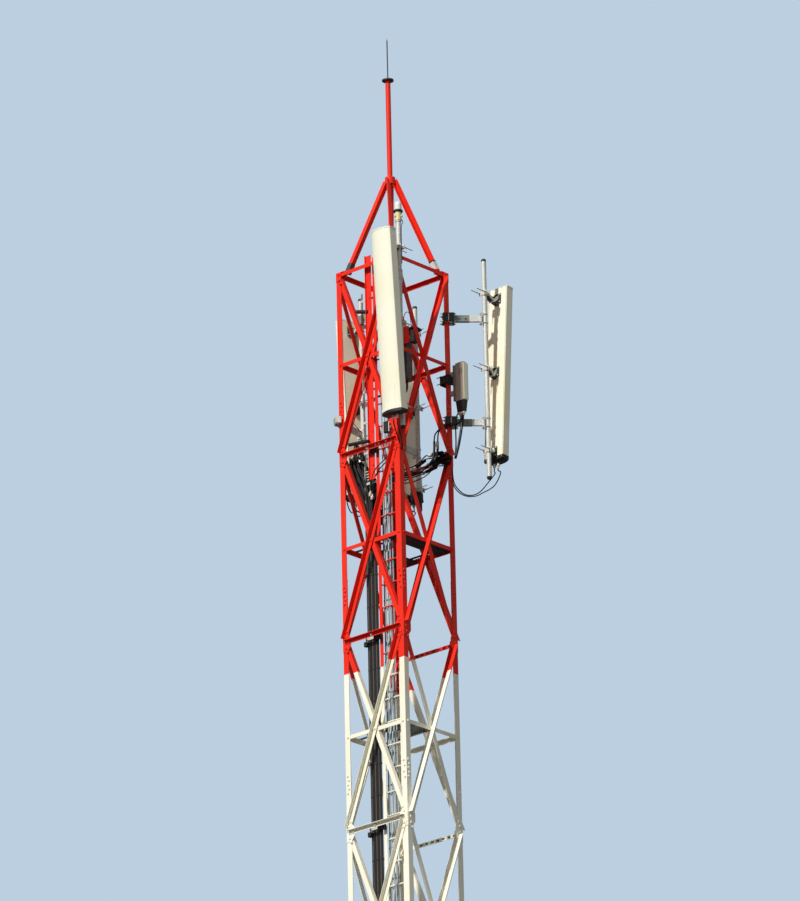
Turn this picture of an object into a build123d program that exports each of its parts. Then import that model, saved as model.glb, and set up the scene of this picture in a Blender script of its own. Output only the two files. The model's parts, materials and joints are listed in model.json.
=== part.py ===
from build123d import *
import math
import os

# Square lattice tower that carries panel antennas. Millimetres, +Z up.
# It is drawn about the tower's own axis at ground level, front face towards -Y.
# save() then moves each piece so that the origin is the middle of the near foot's underside.
# Heights of what hangs near the top are given from the top ring, downwards negative.

# Tower body
face_width = 1000.0
bay_height = 2460.0
bay_count = 6
foot_height = 150.0
leg_size = 80.0
leg_thick = 8.0
leg_top_above_ring = 25.0
brace_size = 60.0
strut_size = 50.0
bar_thick = 6.0
brace_gauge = 40.0
brace_end_gap = 42.0
packing_size = 48.0
gusset_thick = 6.0
gusset_width = 130.0
gusset_height = 240.0
gusset_waist = 0.4
top_gusset_height = 120.0
splice_size = 70.0
splice_thick = 6.0
splice_length = 420.0
splice_above_joint = 620.0
bar_clearance = 1.0

# Feet
plate_size = 260.0
plate_thick = 20.0
anchor_spacing = 180.0
anchor_hole_diameter = 26.0
foot_rib_reach = 75.0
foot_rib_height = 110.0
foot_rib_top = 15.0
foot_rib_thick = 8.0

# Spire, lightning mast and needle
apex_height = 1300.0
spire_foot_inset = 100.0
spire_size = 60.0
spire_thick = 6.0
corner_plate_size = 130.0
corner_plate_thick = 8.0
collar_diameter = 130.0
collar_height = 90.0
mast_diameter = 65.0
mast_wall = 5.0
mast_below_apex = 700.0
mast_top = 2690.0
disc_diameter = 150.0
disc_thick = 14.0
needle_diameter = 16.0
needle_top = 3250.0

# Flats of tubes and turned pieces, and the share of a run that a cable's bend takes
tube_sides = 16
bend_share = 0.45

# Climbing ladder, just inside the front face
ladder_from_front = 100.0
ladder_left_x = 20.0
ladder_width = 350.0
stile_size = 50.0
stile_thick = 5.0
rung_pitch = 300.0
rung_diameter = 20.0
rung_sides = 6
ladder_foot = 300.0
ladder_above_ring = 130.0
bracket_width = 40.0
bracket_thick = 6.0

# Cable ladder and feeders beside the climbing ladder
feeder_count = 6
feeder_diameter = 28.0
feeder_sides = 8
feeder_pitch = 30.5
feeder_left_x = -166.0
feeder_foot = 500.0
rail_depth = 30.0
rail_thick = 5.0
rail_gap = 24.0
tray_rung_pitch = 410.0
tray_rung_height = 30.0
tray_foot = 450.0
tray_top_below_ring = 300.0
tray_bracket_width = 8.0
clamp_height = 40.0
clamp_thick = 6.0
clamp_every = 3
clamp_top_below_ring = 3600.0
cable_clearance = 0.3
jumper_diameter = 16.0
jumper_pitch = 22.0

# Panel antennas: pole beyond its leg's heel in x and y, lower edge from the ring, length,
# facing, tilt, spare pole beyond each end
antenna_front = (155.0, -100.0, -2170.0, 2330.0, 0.0, 3.4, 220.0)
antenna_right = (320.0, 320.0, -2420.0, 2320.0, 180.0, 4.25, 310.0)
antenna_back = (-60.0, 550.0, -2520.0, 2330.0, -95.0, 3.7, 220.0)
antenna_left = (-120.0, 580.0, -2750.0, 2400.0, -101.0, 3.1, 220.0)

# Stand-off arms of each antenna's pole: the leg that carries it, height from the ring
arms_front = (("near", -350.0), ("near", -1950.0))
arms_right = (("right", -587.0), ("right", -1990.0))
arms_back = (("far", -560.0), ("far", -1970.0))
arms_left = (("far", -330.0), ("left", -1970.0))

# Panels, their ports and brackets, and the clamps on the poles
panel_width = 310.0
panel_depth = 160.0
panel_side_depth = 110.0
panel_edge_radius = 12.0
panel_cap_low = 45.0
panel_cap_high = 16.0
panel_cap_proud = 3.0
panel_seat = 60.0
port_count = 4
port_pitch = 64.0
port_diameter = 26.0
port_length = 32.0
port_sides = 6
bracket_from_low = 60.0
bracket_from_top = 140.0
bracket_plate_width = 110.0
bracket_plate_height = 120.0
bracket_plate_thick = 8.0
link_width = 36.0
link_thick = 6.0
link_gap = 60.0
link_drop = 90.0
link_rise = 30.0
short_bracket = 130.0
pole_diameter = 60.0
pole_wall = 4.0
pole_clamp_height = 60.0
pole_clamp_width = 130.0
pole_clamp_thick = 10.0
pole_clamp_bolt = 12.0
pole_clamp_bolt_x = 48.0
pole_clamp_bolt_tail = 70.0
pole_bite = 3.0

# Obstruction lamp on the front pole
lamp_diameter = 84.0
lamp_body_height = 120.0
lamp_flange_diameter = 112.0
lamp_flange_thick = 14.0
lamp_dome_height = 84.0
dome_steps = 4

# Radio unit outside the right leg
radio_right_width = 135.0
radio_right_depth = 75.0
radio_right_height = 510.0
radio_right_below_ring = 1230.0
radio_right_from_leg = 100.0
radio_right_past_heel = 42.0
radio_cover_height = 150.0
radio_cover_taper = 5.0
radio_bracket_height = 60.0
radio_bracket_width = 30.0
radio_edge = 8.0

# Radio unit inside, hooked over the back ring
radio_inner_x = -118.0
radio_inner_width = 126.0
radio_inner_depth = 96.0
radio_inner_height = 510.0
radio_inner_below_mid_ring = 50.0
radio_inner_from_ring = 70.0
fin_count = 6
fin_depth = 14.0
fin_thick = 5.0

# Thin control cables tied to the back of the rungs
control_count = 4
control_diameter = 14.0
control_sides = 6
control_pitch = 46.0
control_left_x = 90.0
control_foot = 500.0
control_top_below_ring = 1500.0

# Rest platforms on the rings, each with its number of whole bays below
platform_from_side = 70.0
platform_from_front = 200.0
upper_platform_bay_count = 4
upper_platform_width = 180.0
upper_platform_depth = 730.0
lower_platform_bay_count = 3
lower_platform_width = 340.0
lower_platform_depth = 400.0
platform_thick = 5.0
bearer_width = 50.0

# Stand-off arms and the notched clamps that grip a leg
arm_depth = 80.0
arm_thick = 40.0
notch_out = 50.0
notch_in = 24.0
notch_width = 150.0
notch_height = 80.0

half = face_width / 2.0
ring_z = foot_height + bay_count * bay_height
leg_top = ring_z + leg_top_above_ring
plate_centre = half - leg_size / 2.0
outer_seat = half + gusset_thick
inner_seat = half - leg_thick
feeder_y = -half + ladder_from_front
pole_radius = pole_diameter / 2.0
turns = {"front": 0, "right": 90, "back": 180, "left": 270}
corners = {"near": (1, -1), "right": (1, 1), "far": (-1, 1), "left": (-1, -1)}
corner_turns = {"near": 0, "right": 90, "far": 180, "left": 270}
radio_right_x = half + radio_right_from_leg + radio_right_width / 2
radio_right_y = half + radio_right_past_heel - radio_right_depth / 2
radio_inner_back = inner_seat - bar_thick - bar_clearance - radio_inner_from_ring
radio_inner_y = radio_inner_back - radio_inner_depth / 2


def save(shape, name):
    """Move a piece to the near foot's origin and write it."""
    shift = Pos(-plate_centre, plate_centre, 0)
    export_step(shift * shape, "parts/" + name + ".step")


def fused(pieces):
    """Join a list of pieces in one step."""
    return pieces[0] + pieces[1:]


def tube_section(diameter):
    """Outline of a tube or a turned piece in flats, as wide over them as the diameter."""
    return RegularPolygon(diameter / 2, tube_sides, major_radius=False, rotation=180 / tube_sides)


def upright(diameter, low, high):
    """Upright round piece about Z between two heights."""
    return Pos(0, 0, low) * extrude(tube_section(diameter), amount=high - low)


def bar_along(profile, start, end, x_dir):
    """Extrude a profile from start to end, with x_dir as its first direction."""
    start = Vector(*start)
    end = Vector(*end)
    plane = Plane(origin=start, x_dir=x_dir, z_dir=end - start)
    return extrude(plane * profile, amount=(end - start).length)


def angle_profile(size, thick):
    """L section, flat flange along X and standing flange along Y at its +X edge."""
    outline = Polyline(
        (-size / 2, 0),
        (size / 2, 0),
        (size / 2, size),
        (size / 2 - thick, size),
        (size / 2 - thick, thick),
        (-size / 2, thick),
        close=True,
    )
    return make_face(outline)


def corner_angle(heel, size, thick):
    """L section with its heel at (heel, -heel) and its flanges towards the axis."""
    outline = Polyline(
        (heel, -heel),
        (heel, -heel + size),
        (heel - thick, -heel + size),
        (heel - thick, -heel + thick),
        (heel - size, -heel + thick),
        (heel - size, -heel),
        close=True,
    )
    return make_face(outline)


def face_bar(start, end, seat, size):
    """Angle bar in the plane of the front face, its standing flange along its upper edge.

    A bar drawn to the right lies outside its seat, one drawn to the left inside it.
    """
    (x0, z0), (x1, z1) = start, end
    run = Vector(x1 - x0, 0, z1 - z0).normalized()
    side = 1 if run.X > 0 else -1
    upper = Vector(-run.Z * side, 0, run.X * side)
    return bar_along(angle_profile(size, bar_thick), (x0, -seat, z0), (x1, -seat, z1), upper)


def joint_z(level):
    """Height of the joint below a bay, counted from the foot."""
    return foot_height + level * bay_height


def mid_levels():
    """Heights of the rings at mid bay, from the lowest up."""
    return [joint_z(level) + bay_height / 2 for level in range(bay_count)]


def ring_bar(z):
    """Horizontal inside the leg flanges, coped so that four of them meet at the corners."""
    reach = inner_seat - bar_thick - bar_clearance
    flange_reach = inner_seat - strut_size - bar_clearance
    bar = face_bar((reach, z), (-reach, z), inner_seat, strut_size)
    flange_y = -inner_seat + bar_thick + strut_size / 2
    length = reach - flange_reach
    cope = Box(length, strut_size, strut_size + bar_clearance)
    for side in (-1, 1):
        bar -= Pos(side * (flange_reach + length / 2), flange_y, z) * cope
    return bar


def joint_strut(z):
    """Horizontal outside the gussets, with its flange outwards at the top."""
    reach = half - brace_gauge
    return face_bar((-reach, z), (reach, z), outer_seat, strut_size)


def bay_bracing(level):
    """Crossed angles of one bay, packed apart by the leg's thickness and bolted through."""
    low = joint_z(level) + brace_end_gap
    high = joint_z(level + 1) - brace_end_gap
    middle = (low + high) / 2
    reach = half - brace_gauge
    rising = face_bar((-reach, low), (reach, high), outer_seat, brace_size)
    falling = face_bar((reach, low), (-reach, high), inner_seat, brace_size)
    packing_y = -(outer_seat + inner_seat) / 2
    packing = Pos(0, packing_y, middle) * Box(packing_size, outer_seat - inner_seat, packing_size)
    return fused([rising, falling, packing, ring_bar(middle)])


def bracing_section(levels, with_struts, with_top):
    """Bays of one face; front and back also have a strut at each joint."""
    pieces = [bay_bracing(level) for level in levels]
    if with_struts:
        pieces += [joint_strut(joint_z(level)) for level in levels if level > 0]
    if with_top:
        pieces.append(ring_bar(ring_z))
    return pieces


def flush_gusset(side, z):
    """Packing plate as wide as the flange, under the top ends of the bars."""
    x = side * (half - leg_size / 2)
    plate = Box(leg_size, gusset_thick, top_gusset_height)
    return Pos(x, -half - gusset_thick / 2, z) * plate


def gusset(side, z):
    """Plate on the outside of a leg's flange, on the front face."""
    tall = gusset_height / 2
    short = tall * gusset_waist
    outline = Polyline(
        (side * half, z - tall),
        (side * half, z + tall),
        (side * (half - leg_size), z + tall),
        (side * (half - gusset_width), z + short),
        (side * (half - gusset_width), z - short),
        (side * (half - leg_size), z - tall),
        close=True,
    )
    plane = Plane(origin=(0, -half, 0), x_dir=(1, 0, 0), z_dir=(0, -1, 0))
    return extrude(plane * make_face(outline), amount=gusset_thick)


def leg():
    """Near corner angle with its heel outwards, its gussets and its splice angles."""
    rise = leg_top - plate_thick
    body = Pos(0, 0, plate_thick) * extrude(corner_angle(half, leg_size, leg_thick), amount=rise)
    splice = extrude(corner_angle(inner_seat, splice_size, splice_thick), amount=splice_length)
    pieces = [body]
    for level in range(bay_count):
        pieces.append(Pos(0, 0, joint_z(level) + splice_above_joint - splice_length / 2) * splice)
        pieces.append(gusset(1, joint_z(level)))
        pieces.append(Rot(0, 0, 90) * gusset(-1, joint_z(level)))
    top_z = leg_top - top_gusset_height / 2
    pieces.append(flush_gusset(1, top_z))
    pieces.append(Rot(0, 0, 90) * flush_gusset(-1, top_z))
    return fused(pieces)


def foot_rib():
    """Upright rib on the plate, against the front of the near leg."""
    top = plate_thick + foot_rib_height
    outline = Polyline(
        (-half, plate_thick),
        (-half, top),
        (-half - foot_rib_top, top),
        (-half - foot_rib_reach, plate_thick + foot_rib_top),
        (-half - foot_rib_reach, plate_thick),
        close=True,
    )
    middle = plate_centre - foot_rib_thick / 2
    plane = Plane(origin=(middle, 0, 0), x_dir=(0, 1, 0), z_dir=(1, 0, 0))
    return extrude(plane * make_face(outline), amount=foot_rib_thick)


def base_plate():
    """Foot plate of the near leg with four anchor holes and two ribs."""
    plate = Pos(0, 0, plate_thick / 2) * Box(plate_size, plate_size, plate_thick)
    hole = Cylinder(anchor_hole_diameter / 2, plate_thick * 2)
    for hole_x in (-1, 1):
        for hole_y in (-1, 1):
            plate -= Pos(hole_x * anchor_spacing / 2, hole_y * anchor_spacing / 2, 0) * hole
    rib = foot_rib()
    across = mirror(rib, Plane(origin=(0, 0, 0), z_dir=(1, 1, 0)))
    return Pos(plate_centre, -plate_centre, 0) * plate + [rib, across]


def spire():
    """Corner plates on the ring, and four sloping angles up to a collar round the mast."""
    seat_z = ring_z + strut_size / 2
    foot = half - spire_foot_inset
    inside_collar = collar_diameter / 4
    corner = half - corner_plate_size / 2
    profile = Rot(0, 0, 45) * Pos(-spire_size / 2, 0, 0) * angle_profile(spire_size, spire_thick)
    apex_z = ring_z + apex_height
    pieces = [upright(collar_diameter, apex_z - collar_height / 2, apex_z + collar_height / 2)]
    for x, y in corners.values():
        plate = Box(corner_plate_size, corner_plate_size, corner_plate_thick)
        pieces.append(Pos(x * corner, y * corner, seat_z + corner_plate_thick / 2) * plate)
        start = (x * foot, y * foot, seat_z + corner_plate_thick / 2)
        end = (x * inside_collar, y * inside_collar, apex_z)
        pieces.append(bar_along(profile, start, end, Vector(-y, x, 0)))
    body = fused(pieces)
    under = Pos(0, 0, seat_z - apex_height / 2) * Box(face_width, face_width, apex_height)
    bore = upright(mast_diameter, apex_z - mast_below_apex, apex_z + collar_height)
    return body - [under, bore]


def lightning_mast():
    """Tube that stands in the spire's collar."""
    low = ring_z + apex_height - mast_below_apex
    high = ring_z + mast_top
    return upright(mast_diameter, low, high) - upright(mast_diameter - 2 * mast_wall, low, high)


def lightning_needle():
    """Thin disc on the mast's end with the rod standing on it."""
    disc = upright(disc_diameter, ring_z + mast_top, ring_z + mast_top + disc_thick)
    return disc + upright(needle_diameter, ring_z + mast_top, ring_z + needle_top)


def ring_bracket(x, side, end_y, z, width):
    """Flat bar lying on the flange of a front ring, from its flat to end_y."""
    start_y = -inner_seat + bar_thick + bar_clearance
    length = end_y - start_y
    bar_z = z + strut_size / 2 + bracket_thick / 2
    return Pos(x + side * width / 2, start_y + length / 2, bar_z) * Box(width, length, bracket_thick)


def climbing_ladder():
    """Two angle stiles and round rungs, held off the rings of the front face."""
    y = -half + ladder_from_front
    right_x = ladder_left_x + ladder_width
    left_length = ring_z + ladder_above_ring - ladder_foot
    right_length = ring_z - strut_size - ladder_foot
    stile = corner_angle(0, stile_size, stile_thick)
    left_stile = extrude(mirror(stile, Plane.YZ), amount=left_length)
    right_stile = extrude(stile, amount=right_length)
    pieces = [
        Pos(ladder_left_x, y, ladder_foot) * left_stile,
        Pos(right_x, y, ladder_foot) * right_stile,
    ]
    rung_face = RegularPolygon(rung_diameter / 2, rung_sides)
    rung_y = y + stile_size / 2
    for index in range(int(right_length // rung_pitch)):
        z = ladder_foot + rung_pitch / 2 + index * rung_pitch
        start = (ladder_left_x + stile_thick, rung_y, z)
        end = (right_x - stile_thick, rung_y, z)
        pieces.append(bar_along(rung_face, start, end, (0, 1, 0)))
    for z in mid_levels():
        pieces.append(ring_bracket(ladder_left_x, 1, y + stile_size, z, bracket_width))
        pieces.append(ring_bracket(right_x, -1, y + stile_size, z, bracket_width))
    pieces.append(ring_bracket(ladder_left_x, 1, y + stile_size, ring_z, bracket_width))
    return fused(pieces)


def feeder_x(index):
    """Place of a feeder in the row on the cable ladder."""
    return feeder_left_x + index * feeder_pitch


def feeder_clamp(left_x, right_x, seat_y, z):
    """Flat strap in front of the feeders, on a post at each rail, as a list of solids."""
    depth = feeder_diameter + 2 * cable_clearance
    width = right_x - left_x + rail_thick
    middle_x = (left_x + right_x) / 2
    strap = Box(width, clamp_thick, clamp_height)
    pieces = [Pos(middle_x, seat_y - depth - clamp_thick / 2, z) * strap]
    for x in (left_x, right_x):
        pieces.append(Pos(x, seat_y - depth / 2, z) * Box(rail_thick, depth, clamp_height))
    return pieces


def cable_ladder():
    """Flat rails and rungs behind the feeders, with clamping straps round them."""
    seat_y = feeder_y + feeder_diameter / 2 + cable_clearance
    left_x = feeder_left_x - rail_gap
    right_x = feeder_x(feeder_count - 1) + rail_gap
    middle_x = (left_x + right_x) / 2
    width = right_x - left_x
    top = ring_z - tray_top_below_ring
    length = top - tray_foot
    pieces = []
    for x in (left_x, right_x):
        rail = Box(rail_thick, rail_depth, length)
        pieces.append(Pos(x, seat_y + rail_depth / 2, tray_foot + length / 2) * rail)
    for index in range(1, int((top - foot_height) // tray_rung_pitch) + 1):
        z = foot_height + index * tray_rung_pitch
        if z < tray_foot + tray_rung_height:
            continue
        rung = Box(width, rail_thick, tray_rung_height)
        pieces.append(Pos(middle_x, seat_y + rail_thick / 2, z) * rung)
        if index % clamp_every == 0 and z < ring_z - clamp_top_below_ring:
            pieces += feeder_clamp(left_x, right_x, seat_y, z)
    end_y = seat_y + rail_depth
    for z in mid_levels():
        pieces.append(ring_bracket(left_x, -1, end_y, z, tray_bracket_width))
        pieces.append(ring_bracket(right_x, 1, end_y, z, tray_bracket_width))
    return fused(pieces)


def bend_radii(points):
    """Largest tangent arcs that two neighbouring runs leave room for."""
    radii = []
    for before, corner, after in zip(points, points[1:], points[2:]):
        first = Vector(*corner) - Vector(*before)
        second = Vector(*after) - Vector(*corner)
        turn = math.radians(first.get_angle(second))
        run = min(first.length, second.length)
        radii.append(bend_share * run / math.tan(turn / 2))
    return radii


def cable_section(diameter, sides):
    """Regular outline as wide over its flats as the cable, with a flat on its +Y side."""
    return RegularPolygon(diameter / 2, sides, major_radius=False, rotation=90 + 180 / sides)


def cable(points, diameter, sides):
    """Cable along straight runs joined by tangent arcs."""
    path = FilletPolyline(*points, radius=bend_radii(points))
    run = Vector(*points[1]) - Vector(*points[0])
    section = Plane(origin=points[0], z_dir=run) * cable_section(diameter, sides)
    return sweep(section, path=path)


def feeder(index, route):
    """One feeder from its lower end, up the cable ladder and along its own route."""
    foot = [(feeder_x(index), feeder_y, feeder_foot)]
    points = foot + [(x, y, ring_z + z) for x, y, z in route]
    return cable(points, feeder_diameter, feeder_sides)


def hung_from(corner, antenna):
    """Antenna with its pole's place counted from the tower's axis."""
    side_x, side_y = corners[corner]
    return (side_x * half + antenna[0], side_y * half + antenna[1]) + antenna[2:]


def beside_pole(antenna, shape):
    """Put a piece drawn about its pole, facing -Y, in its place."""
    x, y, bottom, length, facing = antenna[:5]
    return Pos(x, y, ring_z + bottom) * Rot(0, 0, facing) * shape


def panel_profile(grow):
    """Flat back, straight sides and slightly crowned front of a radome."""
    side_x = panel_width / 2 + grow
    side_y = -panel_side_depth
    front_y = -panel_depth - grow
    back = Polyline((side_x, side_y), (side_x, 0), (-side_x, 0), (-side_x, side_y))
    front = ThreePointArc((-side_x, side_y), (0, front_y), (side_x, side_y))
    face = make_face(back.edges() + [front.edge()])
    front_corners = [corner for corner in face.vertices() if corner.Y < side_y / 2]
    return fillet(front_corners, panel_edge_radius)


def tilted(antenna, shape):
    """Lean a panel piece out from the pole, lower edge nearest."""
    tilt = antenna[5]
    back_y = -(pole_radius + panel_seat)
    return beside_pole(antenna, Pos(0, back_y, 0) * Rot(tilt, 0, 0) * shape)


def radome(antenna):
    """Closed cover of the panel, straight from end to end."""
    return tilted(antenna, extrude(panel_profile(0), amount=antenna[3]))


def end_caps(antenna):
    """Lower cap with its row of cable ports, and thin upper cap."""
    profile = panel_profile(panel_cap_proud)
    pieces = [Pos(0, 0, -panel_cap_low) * extrude(profile, amount=panel_cap_low)]
    port = extrude(RegularPolygon(port_diameter / 2, port_sides), amount=port_length)
    for index in range(port_count):
        x = (index - (port_count - 1) / 2) * port_pitch
        pieces.append(Pos(x, -panel_side_depth / 2, -panel_cap_low - port_length) * port)
    high = Pos(0, 0, antenna[3]) * extrude(profile, amount=panel_cap_high)
    return Compound(children=[tilted(antenna, fused(pieces)), tilted(antenna, high)])


def pole_clamp(z):
    """Two plates that grip the pole, with long bolts through both."""
    plate = Box(pole_clamp_width, pole_clamp_thick, pole_clamp_height)
    offset = pole_radius - pole_bite + pole_clamp_thick / 2
    pieces = [Pos(0, -offset, z) * plate, Pos(0, offset, z) * plate]
    front = -offset - pole_clamp_thick / 2
    rear = offset + pole_clamp_bolt_tail
    rod = Rectangle(pole_clamp_bolt, pole_clamp_bolt)
    for x in (-pole_clamp_bolt_x, pole_clamp_bolt_x):
        pieces.append(bar_along(rod, (x, front, z), (x, rear, z), (0, 0, 1)))
    return pieces


def panel_back(z, depth, tilt):
    """Place at a height on the panel's back and a depth behind it, seen from the pole."""
    lean = math.radians(tilt)
    y = -(pole_radius + panel_seat) + depth * math.cos(lean) - z * math.sin(lean)
    return Vector(0, y, depth * math.sin(lean) + z * math.cos(lean))


def panel_bracket(z, tilt):
    """Plate on the panel's back, joined to the pole clamp by two pairs of hinged links.

    Where panel and pole are close the links run straight across.
    """
    plate = Box(bracket_plate_width, bracket_plate_thick, bracket_plate_height)
    plate_place = Pos(*panel_back(z, bracket_plate_thick / 2, tilt)) * Rot(tilt, 0, 0)
    pieces = [plate_place * plate]
    clamp_y = -(pole_radius - pole_bite + pole_clamp_thick / 2)
    far_end = panel_back(z + link_rise, bracket_plate_thick / 2, tilt)
    near_end = Vector(0, clamp_y, far_end.Z)
    span = near_end.Y - far_end.Y
    drop = link_drop if span > short_bracket else 0.0
    hinge = (near_end + far_end) / 2 - Vector(0, 0, drop)
    near_end -= Vector(0, 0, link_rise / 2)
    section = Rectangle(link_thick, link_width)
    for side in (-1, 1):
        shift = Vector(side * link_gap / 2, 0, 0)
        if drop:
            runs = [(near_end, hinge), (hinge, far_end)]
        else:
            runs = [(near_end, Vector(0, far_end.Y, near_end.Z))]
        for start, end in runs:
            pieces.append(bar_along(section, start + shift, end + shift, (1, 0, 0)))
    if drop:
        pin = RegularPolygon(link_width / 2, 6)
        start = hinge - Vector(link_gap / 2 + link_thick, 0, 0)
        end = hinge + Vector(link_gap / 2 + link_thick, 0, 0)
        pieces.append(bar_along(pin, start, end, (0, 0, 1)))
    return pieces


def leg_clamp(corner, z):
    """Notched block on the outside of a leg's heel."""
    x, y = corners[corner]
    radial = (notch_out - notch_in) / 2
    block = Box(notch_out + notch_in, notch_width, notch_height)
    outward = math.degrees(math.atan2(y, x))
    block = Pos(x * half, y * half, z) * Rot(0, 0, outward) * Pos(radial, 0, 0) * block
    inside = Pos(x * half / 2, y * half / 2, z) * Box(half, half, notch_height * 2)
    return block - inside


def stand_off(antenna, corner, z):
    """Level arm from a leg's heel to the pole, with its clamp on the leg."""
    x, y = corners[corner]
    heel = Vector(x * half, y * half, ring_z + z)
    pole = Vector(antenna[0], antenna[1], ring_z + z)
    start = heel + Vector(x, y, 0).normalized() * (notch_out - pole_bite)
    run = (pole - start).normalized()
    side = Vector(-run.Y, run.X, 0)
    bar = bar_along(Rectangle(arm_thick, arm_depth), start, pole, side)
    return [bar, leg_clamp(corner, ring_z + z)]


def antenna_mount(antenna, arms):
    """Pole with its clamps, the brackets of the panel and the arms to the tower."""
    length, tilt, spare = antenna[3], antenna[5], antenna[6]
    low = -spare
    high = length + spare
    pieces = [upright(pole_diameter, low, high)]
    for z in (bracket_from_low, length / 2, length - bracket_from_top):
        pieces += pole_clamp(z)
        pieces += panel_bracket(z, tilt)
    pieces = [beside_pole(antenna, piece) for piece in pieces]
    for corner, z in arms:
        pieces += stand_off(antenna, corner, z)
    bore = upright(pole_diameter - 2 * pole_wall, low, high)
    panel = Pos(0, -panel_depth / 2, length / 2) * Box(panel_width, panel_depth, length)
    return fused(pieces) - [beside_pole(antenna, bore), tilted(antenna, panel)]


def on_front_pole(shape, above):
    """Put a piece drawn about its own foot on the end of the front antenna's pole."""
    x, y, bottom, length = hung_from("near", antenna_front)[:4]
    spare = antenna_front[6]
    return Pos(x, y, ring_z + bottom + length + spare + above) * shape


def lamp_body():
    """Socket on the pole's end with a wide flange under the dome."""
    top = lamp_body_height + lamp_flange_thick
    flange = upright(lamp_flange_diameter, lamp_body_height, top)
    return on_front_pole(upright(lamp_diameter, 0, lamp_body_height) + flange, 0)


def lamp_dome():
    """Round-topped lens through a few rings that narrow to a small flat top."""
    radius = lamp_diameter / 2
    side = lamp_dome_height - radius
    rings = [tube_section(lamp_diameter)]
    for step in range(dome_steps):
        angle = math.radians(90 * step / dome_steps)
        ring = tube_section(lamp_diameter * math.cos(angle))
        rings.append(Pos(0, 0, side + radius * math.sin(angle)) * ring)
    dome = loft(rings, ruled=True)
    return on_front_pole(dome, lamp_body_height + lamp_flange_thick)


def casing(width, depth, height):
    """Box with its upright edges cut back."""
    return chamfer(Box(width, depth, height).edges().filter_by(Axis.Z), radio_edge)


def radio_unit_right():
    """Box on two brackets from the outer face of the right leg, with a tapered cover below."""
    box = casing(radio_right_width, radio_right_depth, radio_right_height)
    low = ring_z - radio_right_below_ring - radio_right_height
    pieces = [Pos(radio_right_x, radio_right_y, low + radio_right_height / 2) * box]
    plane = Plane(origin=(radio_right_x, radio_right_y, low), z_dir=(0, 0, -1))
    mouth = plane * Rectangle(radio_right_width, radio_right_depth)
    pieces.append(extrude(mouth, amount=radio_cover_height, taper=radio_cover_taper))
    bracket = Box(radio_right_from_leg, radio_bracket_width, radio_bracket_height)
    x = half + radio_right_from_leg / 2
    for share in (0.25, 0.75):
        z = low + radio_right_height * share
        pieces.append(Pos(x, half - radio_bracket_width / 2, z) * bracket)
    return fused(pieces)


def radio_unit_inner():
    """Finned box hooked over the flange of the back ring."""
    mid_ring_z = mid_levels()[-1]
    middle_z = mid_ring_z - radio_inner_below_mid_ring + radio_inner_height / 2
    box = casing(radio_inner_width, radio_inner_depth, radio_inner_height)
    pieces = [Pos(radio_inner_x, radio_inner_y, middle_z) * box]
    fin = Box(fin_thick, fin_depth, radio_inner_height)
    fin_y = radio_inner_y - radio_inner_depth / 2 - fin_depth / 2
    pitch = (radio_inner_width - 2 * radio_edge - fin_thick) / (fin_count - 1)
    for index in range(fin_count):
        x = radio_inner_x + (index - (fin_count - 1) / 2) * pitch
        pieces.append(Pos(x, fin_y, middle_z) * fin)
    hook = Box(radio_inner_width / 2, radio_inner_from_ring, bracket_thick)
    hook_z = mid_ring_z + strut_size / 2 + bracket_thick / 2
    hook_y = radio_inner_back + radio_inner_from_ring / 2
    pieces.append(Pos(radio_inner_x, hook_y, hook_z) * hook)
    return fused(pieces)


def control_cables():
    """Straight thin cables behind the rungs."""
    rung_y = -half + ladder_from_front + stile_size / 2
    y = rung_y + rung_diameter / 2 + control_diameter / 2 + cable_clearance
    length = ring_z - control_top_below_ring - control_foot
    rod = extrude(cable_section(control_diameter, control_sides), amount=length)
    return [
        Pos(control_left_x + index * control_pitch, y, control_foot) * rod
        for index in range(control_count)
    ]


def platform(bays_below, width, depth):
    """Plate on two flat bearers that lie across the side rings."""
    seat_z = mid_levels()[bays_below] + strut_size / 2
    reach = inner_seat - bar_thick - bar_clearance
    low_y = -half + platform_from_front
    pieces = []
    for y in (low_y + bearer_width / 2, low_y + depth - bearer_width / 2):
        bearer = Box(2 * reach, bearer_width, bracket_thick)
        pieces.append(Pos(0, y, seat_z + bracket_thick / 2) * bearer)
    plate_x = half - platform_from_side - width / 2
    plate_z = seat_z + bracket_thick + platform_thick / 2
    pieces.append(Pos(plate_x, low_y + depth / 2, plate_z) * Box(width, depth, platform_thick))
    return fused(pieces)


def feeders_left():
    """Three feeders that leave the cable ladder for the left corner."""
    fans = [
        (-3170, (-345, -400, -2770), (-405, -395, -2600), (-410, -390, -2480)),
        (-3110, (-290, -400, -2740), (-360, -395, -2570), (-368, -390, -2450)),
        (-3050, (-235, -400, -2710), (-312, -395, -2540), (-325, -390, -2420)),
    ]
    cables = []
    for index, (leaves_at, *fan) in enumerate(fans):
        cables.append(feeder(index, [(feeder_x(index), feeder_y, leaves_at)] + fan))
    return cables


def feeder_inner():
    """One feeder, on to the inner radio unit."""
    index = feeder_count // 2
    x, y = radio_inner_x, radio_inner_y
    low = mid_levels()[-1] - radio_inner_below_mid_ring - ring_z
    route = [
        (feeder_x(index), feeder_y, -1905),
        (-85, -290, -1700),
        (-100, -50, -1600),
        (x, 200, -1560),
        (x, y, -1430),
        (x, y, low - cable_clearance),
    ]
    return feeder(index, route)


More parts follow.
